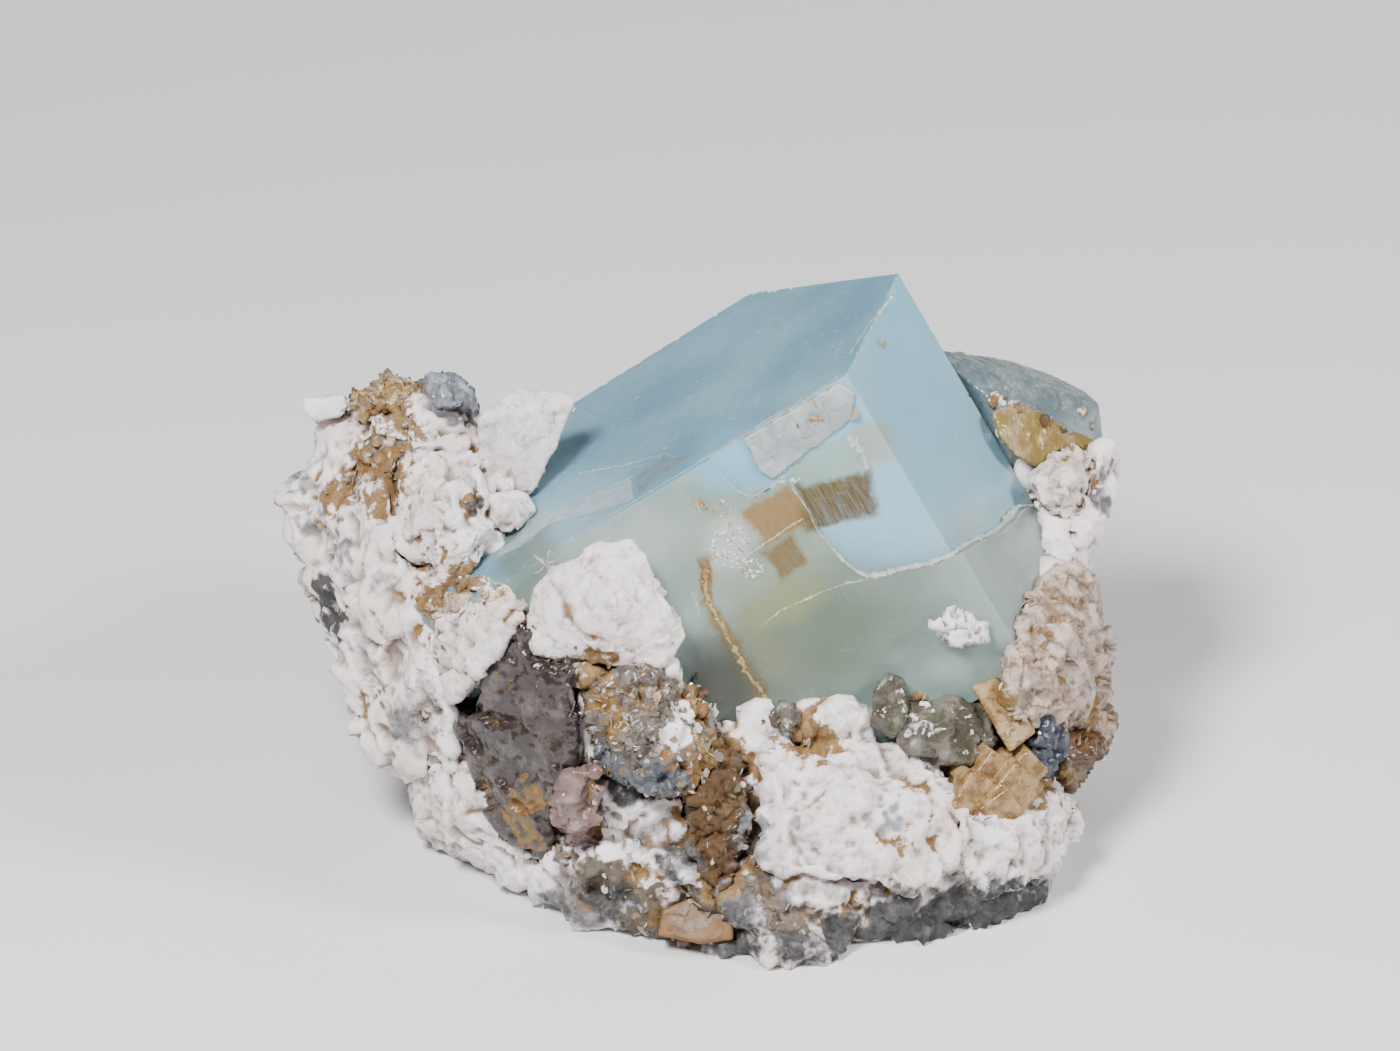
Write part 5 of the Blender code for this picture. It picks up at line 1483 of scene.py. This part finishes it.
def build_cracks(sizes, tones):
    """White healed cracks, the brown vein, and the druse and rust grains on the beryl's front."""
    random = np.random.default_rng(sizes.seed + 30)
    shape = bmesh.new()
    for half, foot, line in CRACKS:
        places = resampled(line, 0.30, random, 0.07)
        step = sizes.step_height if foot else 0.0
        strip(shape, places, half, lambda *place: on_face(*place, step)[0], 0.03 * MM, 0.9 * MM, random)
    for half, line in END_LINES:
        strip(shape, resampled(line, 0.35, random, 0.05), half, on_end, 0.02 * MM, 0.3 * MM, random)
    laid(solid("healed_cracks", shape), mottled_look(
        "healed_crack", (0.82, 0.85, 0.83), (0.62, 0.60, 0.48), (1.2 * MM, 4.0, 81, 0.55, 0.4, 0.65),
        0.3 * MM, 0.42, (0.12 * MM, 0.8), ior=1.57, transmission=0.5,
    ))

    axis = crystal_axes()[0]
    for name, tone, outline in PLATES:
        plate = extruded(name, [on_end(*place) for place in outline], axis, -0.03 * MM, -0.2 * MM)
        laid(plate, mottled_look(
            name, tone, tuple(0.7 * part for part in tone), (1.6 * MM, 5.0, 83, 0.65, 0.35, 0.7),
            0.5 * MM, 0.45, (0.08 * MM, 0.7), ior=1.57, transmission=0.3,
        ))

    shape = bmesh.new()
    places = resampled(VEIN, 0.4, random, 0.14)
    step = sizes.step_height
    strip(shape, places, 0.26, lambda *place: on_face(*place, step)[0], 0.02 * MM, 1.2 * MM, random)
    laid(solid("rust_vein", shape), mottled_look(
        "rust_vein", (0.44, 0.34, 0.14), (0.26, 0.14, 0.04), (1.0 * MM, 4.0, 82, 0.65, 0.35, 0.65),
        0.4 * MM, 0.6, (0.25 * MM, 0.8), transmission=0.1,
    ))

    tree = bpy.data.node_groups["crumb_scatter"]
    look = Look("druse", ior=1.56, transmission=0.35)
    tone = look.attribute("tone")
    body = look.mix(look.band(tone, 0.80, 0.86), (0.78, 0.82, 0.83), (0.50, 0.36, 0.16))
    sown("druse", *faced(sprinkled(DRUSE, random), step), sizes.seed + 31, tree, Seed=sizes.seed + 2,
         Small=(0.25 * MM,) * 3, Large=(1.1 * MM, 0.8 * MM, 0.7 * MM), Tilt=1.0,
         Material=look.finish(body, 0.2))

    spots = [*resampled(VEIN[:4], 0.16, random, 0.35), *resampled(VEIN[3:], 0.5, random, 0.35)]
    spots += sprinkled(RUST_GRAINS, random)
    look = Look("rust_grains")
    tone = look.attribute("tone")
    body = look.mix(look.band(tone, 0.0, 0.6), tuple(tones.rust), (0.50, 0.28, 0.09))
    body = look.mix(look.band(tone, 0.80, 0.86), body, (0.72, 0.66, 0.56))
    sown("rust_grains", *faced(spots, step), sizes.seed + 32, tree, Seed=sizes.seed + 3,
         Small=(0.2 * MM,) * 3, Large=(0.9 * MM, 0.7 * MM, 0.6 * MM), Tilt=1.0,
         Material=look.finish(body, 0.7))


def faced(spots, step):
    """Points and normals on the beryl's front for places on the drawing plane."""
    found = [on_face(right, up, -0.05 * MM, step) for right, up in spots]
    return np.array([point for point, _ in found]), np.array([normal for _, normal in found])


def build_beryl(sizes, tones):
    body = beryl_body(sizes)
    body.name = "aquamarine_crystal"
    mark_faces(body)
    body.data.materials.clear()
    body.data.materials.append(beryl_look(tones))
    body.data.polygons.foreach_set("use_smooth", [False] * len(body.data.polygons))
    placed(body, "aquamarine")


def build_side_crystals(sizes, tones):
    """The small inset beryl, the back beryl and the ochre wedge behind it."""
    inset = glassy_look(
        "inset_beryl", (0.34, 0.40, 0.41), (0.62, 0.64, 0.63), (0.7, 0.85, 0.9), 30, 0.35, rough=0.22,
        ior=BERYL_IOR, chipped=0.2, blot=(0.44, 0.28, 0.13), cloud_size=3.5 * MM, cloud_low=0.35,
        cloud_high=0.70,
    )
    back = glassy_look(
        "back_beryl", (0.20, 0.27, 0.29), (0.44, 0.50, 0.50), (0.6, 0.8, 0.85), 30, 0.45, rough=0.10,
        ior=BERYL_IOR, chipped=0.08, cloud_size=6 * MM, cloud_low=0.40, cloud_high=0.70,
    )
    ochre = glassy_look(
        "ochre_beryl", (0.30, 0.20, 0.06), (0.62, 0.50, 0.28), (0.85, 0.6, 0.25), 40, 0.3, rough=0.15,
        cloud_size=3 * MM,
    )
    usual = sizes.mesh_step
    for node, surface, slot, step, soften, seed, grow, relief in (
        ("inset_crystal", inset, "frosted_beryl", 0.2 * MM, 0, 21.0, 0.02, (0.05, 0.1, 0.15, 0.05, 0.1, 2.4)),
        ("back_crystal", back, "grey_beryl", usual, 1, 22.0, 0.05, (0.15, 0.08, 0.05, 0.0, 0.05, 5.0)),
        ("ochre_crystal", ochre, "ochre", usual, 1, 22.0, 0.05, (0.15, 0.15, 0.1, 0.0, 0.10, 5.0)),
    ):
        placed(weathered(node, surface, step, soften, sizes.seed + seed, grow, relief), node)


# ---------------------------------------------------------------- stage

FLOOR_GAP = 0.02 * MM
VIEW_WIDTH = 168 * MM
SENSOR = 36.0
LENS = 400.0
# Name, place, size and power of each lamp
LAMPS = (
    ("key", (-0.18, -0.34, 0.48), 0.18, 7.0),
    ("fill", (0.50, -0.18, 0.38), 0.16, 4.0),
    ("back", (0.10, 0.50, 0.30), 0.30, 0.6),
)


def build_stage(sizes, tones):
    half = sizes.floor_size / 2
    shape = bmesh.new()
    around = ((-half, -half), (half, -half), (half, half), (-half, half))
    shape.faces.new([shape.verts.new((*place, -FLOOR_GAP)) for place in around])
    floor = solid("floor", shape)
    look = Look("pale_floor")
    tone = tuple(tones.floor)
    surface = look.mix(look.noise(look.place, 0.2, 2.0, 91), tone, tuple(part * 0.97 for part in tone))
    floor.data.materials.append(look.finish(surface, 0.8))

    world = bpy.data.worlds.new("studio")
    world.use_nodes = True
    sky = world.node_tree.nodes["Background"]
    sky.inputs["Color"].default_value = (0.84, 0.86, 0.90, 1.0)
    sky.inputs["Strength"].default_value = 0.14
    bpy.context.scene.world = world
    target = Vector((0.0, 0.0, 30.0)) * MM
    for name, place, size, power in LAMPS:
        light = bpy.data.lights.new(name, "AREA")
        light.shape = "DISK"
        light.size = size
        light.energy = power
        lamp = bpy.data.objects.new(name, light)
        lamp.location = place
        lamp.rotation_euler = (target - Vector(place)).to_track_quat("-Z", "Y").to_euler()
        bpy.context.scene.collection.objects.link(lamp)

    sight = bpy.data.cameras.new("camera")
    sight.lens = LENS
    sight.sensor_width = SENSOR
    sight.clip_end = 20.0
    camera = bpy.data.objects.new("camera", sight)
    aim = Vector((0.0, 0.0, 38.8)) * MM
    camera.location = aim + Vector(TOWARDS_VIEW) * (VIEW_WIDTH / SENSOR * LENS)
    camera.rotation_euler = (aim - camera.location).to_track_quat("-Z", "Y").to_euler()
    bpy.context.scene.collection.objects.link(camera)
    bpy.context.scene.camera = camera


# ---------------------------------------------------------------- add-on


class Step(bpy.types.Operator):
    """One step of the build, run on the scene's own sizes and colours"""

    bl_options = {"REGISTER"}

    def execute(self, context):
        self.build(context.scene.specimen_sizes, context.scene.specimen_colours)
        return {"FINISHED"}

    def build(self, sizes, tones):
        raise NotImplementedError(self.bl_idname)


class SPECIMEN_OT_materials(Step):
    """Make the shared node trees and the materials of the stones"""

    bl_idname = "specimen.materials"
    bl_label = "Materials"

    def build(self, sizes, tones):
        weathering_tree()
        scatter_tree("crumb")
        scatter_tree("flake")
        make_looks(tones)


class SPECIMEN_OT_feldspar(Step):
    """Build the feldspar blocks and the granular tan quartz"""

    bl_idname = "specimen.feldspar"
    bl_label = "Feldspar"

    def build(self, sizes, tones):
        build_stones("feldspar", sizes)


class SPECIMEN_OT_quartz(Step):
    """Build the glassy quartz grains"""

    bl_idname = "specimen.quartz"
    bl_label = "Quartz"

    def build(self, sizes, tones):
        build_stones("quartz", sizes)


class SPECIMEN_OT_spar(Step):
    """Build the honey and tan cleavage pieces and the dark grain"""

    bl_idname = "specimen.spar"
    bl_label = "Spar"

    def build(self, sizes, tones):
        build_stones("spar", sizes)


class SPECIMEN_OT_mica(Step):
    """Build the mica lump, the mica rosettes and the clay seam"""

    bl_idname = "specimen.mica"
    bl_label = "Mica and Clay"

    def build(self, sizes, tones):
        build_stones("mica", sizes)


class SPECIMEN_OT_matrix(Step):
    """Build the fused rock that carries everything"""

    bl_idname = "specimen.matrix"
    bl_label = "Matrix"

    def build(self, sizes, tones):
        build_matrix(sizes, tones)


class SPECIMEN_OT_side_crystals(Step):
    """Build the inset, back and ochre crystals"""

    bl_idname = "specimen.side_crystals"
    bl_label = "Side Crystals"

    def build(self, sizes, tones):
        build_side_crystals(sizes, tones)


class SPECIMEN_OT_aquamarine(Step):
    """Build the aquamarine crystal"""

    bl_idname = "specimen.aquamarine"
    bl_label = "Aquamarine"

    def build(self, sizes, tones):
        build_beryl(sizes, tones)


class SPECIMEN_OT_rubble(Step):
    """Set small lumps of rock in the gaps"""

    bl_idname = "specimen.rubble"
    bl_label = "Rubble"

    def build(self, sizes, tones):
        build_rubble(sizes)


class SPECIMEN_OT_cracks(Step):
    """Lay the healed cracks, the vein and the druse on the aquamarine"""

    bl_idname = "specimen.cracks"
    bl_label = "Cracks and Druse"

    def build(self, sizes, tones):
        build_cracks(sizes, tones)


class SPECIMEN_OT_crumbs(Step):
    """Fill the seams with crumbs and scatter the mica flakes"""

    bl_idname = "specimen.crumbs"
    bl_label = "Crumbs and Flakes"

    def build(self, sizes, tones):
        build_crumbs(sizes, tones)


class SPECIMEN_OT_stage(Step):
    """Set up the floor, the lights and the camera"""

    bl_idname = "specimen.stage"
    bl_label = "Stage"

    def build(self, sizes, tones):
        build_stage(sizes, tones)


STEPS = (
    SPECIMEN_OT_materials, SPECIMEN_OT_feldspar, SPECIMEN_OT_quartz, SPECIMEN_OT_spar, SPECIMEN_OT_mica,
    SPECIMEN_OT_matrix, SPECIMEN_OT_side_crystals, SPECIMEN_OT_aquamarine, SPECIMEN_OT_rubble,
    SPECIMEN_OT_cracks, SPECIMEN_OT_crumbs, SPECIMEN_OT_stage,
)


class SPECIMEN_PT_panel(bpy.types.Panel):
    """The steps of the build in their order, with their sizes and colours"""

    bl_label = "Aquamarine Specimen"
    bl_idname = "SPECIMEN_PT_panel"
    bl_space_type = "VIEW_3D"
    bl_region_type = "UI"
    bl_category = "Specimen"

    def draw(self, context):
        for step in STEPS:
            self.layout.operator(step.bl_idname)
        for group in (context.scene.specimen_sizes, context.scene.specimen_colours):
            box = self.layout.box()
            for name in type(group).__annotations__:
                box.prop(group, name)


CLASSES = (SpecimenSizes, SpecimenColours, *STEPS, SPECIMEN_PT_panel)


def register():
    for kind in CLASSES:
        bpy.utils.register_class(kind)
    bpy.types.Scene.specimen_sizes = PointerProperty(type=SpecimenSizes)
    bpy.types.Scene.specimen_colours = PointerProperty(type=SpecimenColours)


def unregister():
    del bpy.types.Scene.specimen_colours
    del bpy.types.Scene.specimen_sizes
    for kind in reversed(CLASSES):
        bpy.utils.unregister_class(kind)


def main():
    register()
    for step in STEPS:
        name = step.bl_idname.split(".")[1]
        getattr(bpy.ops.specimen, name)()


if __name__ == "__main__":
    main()
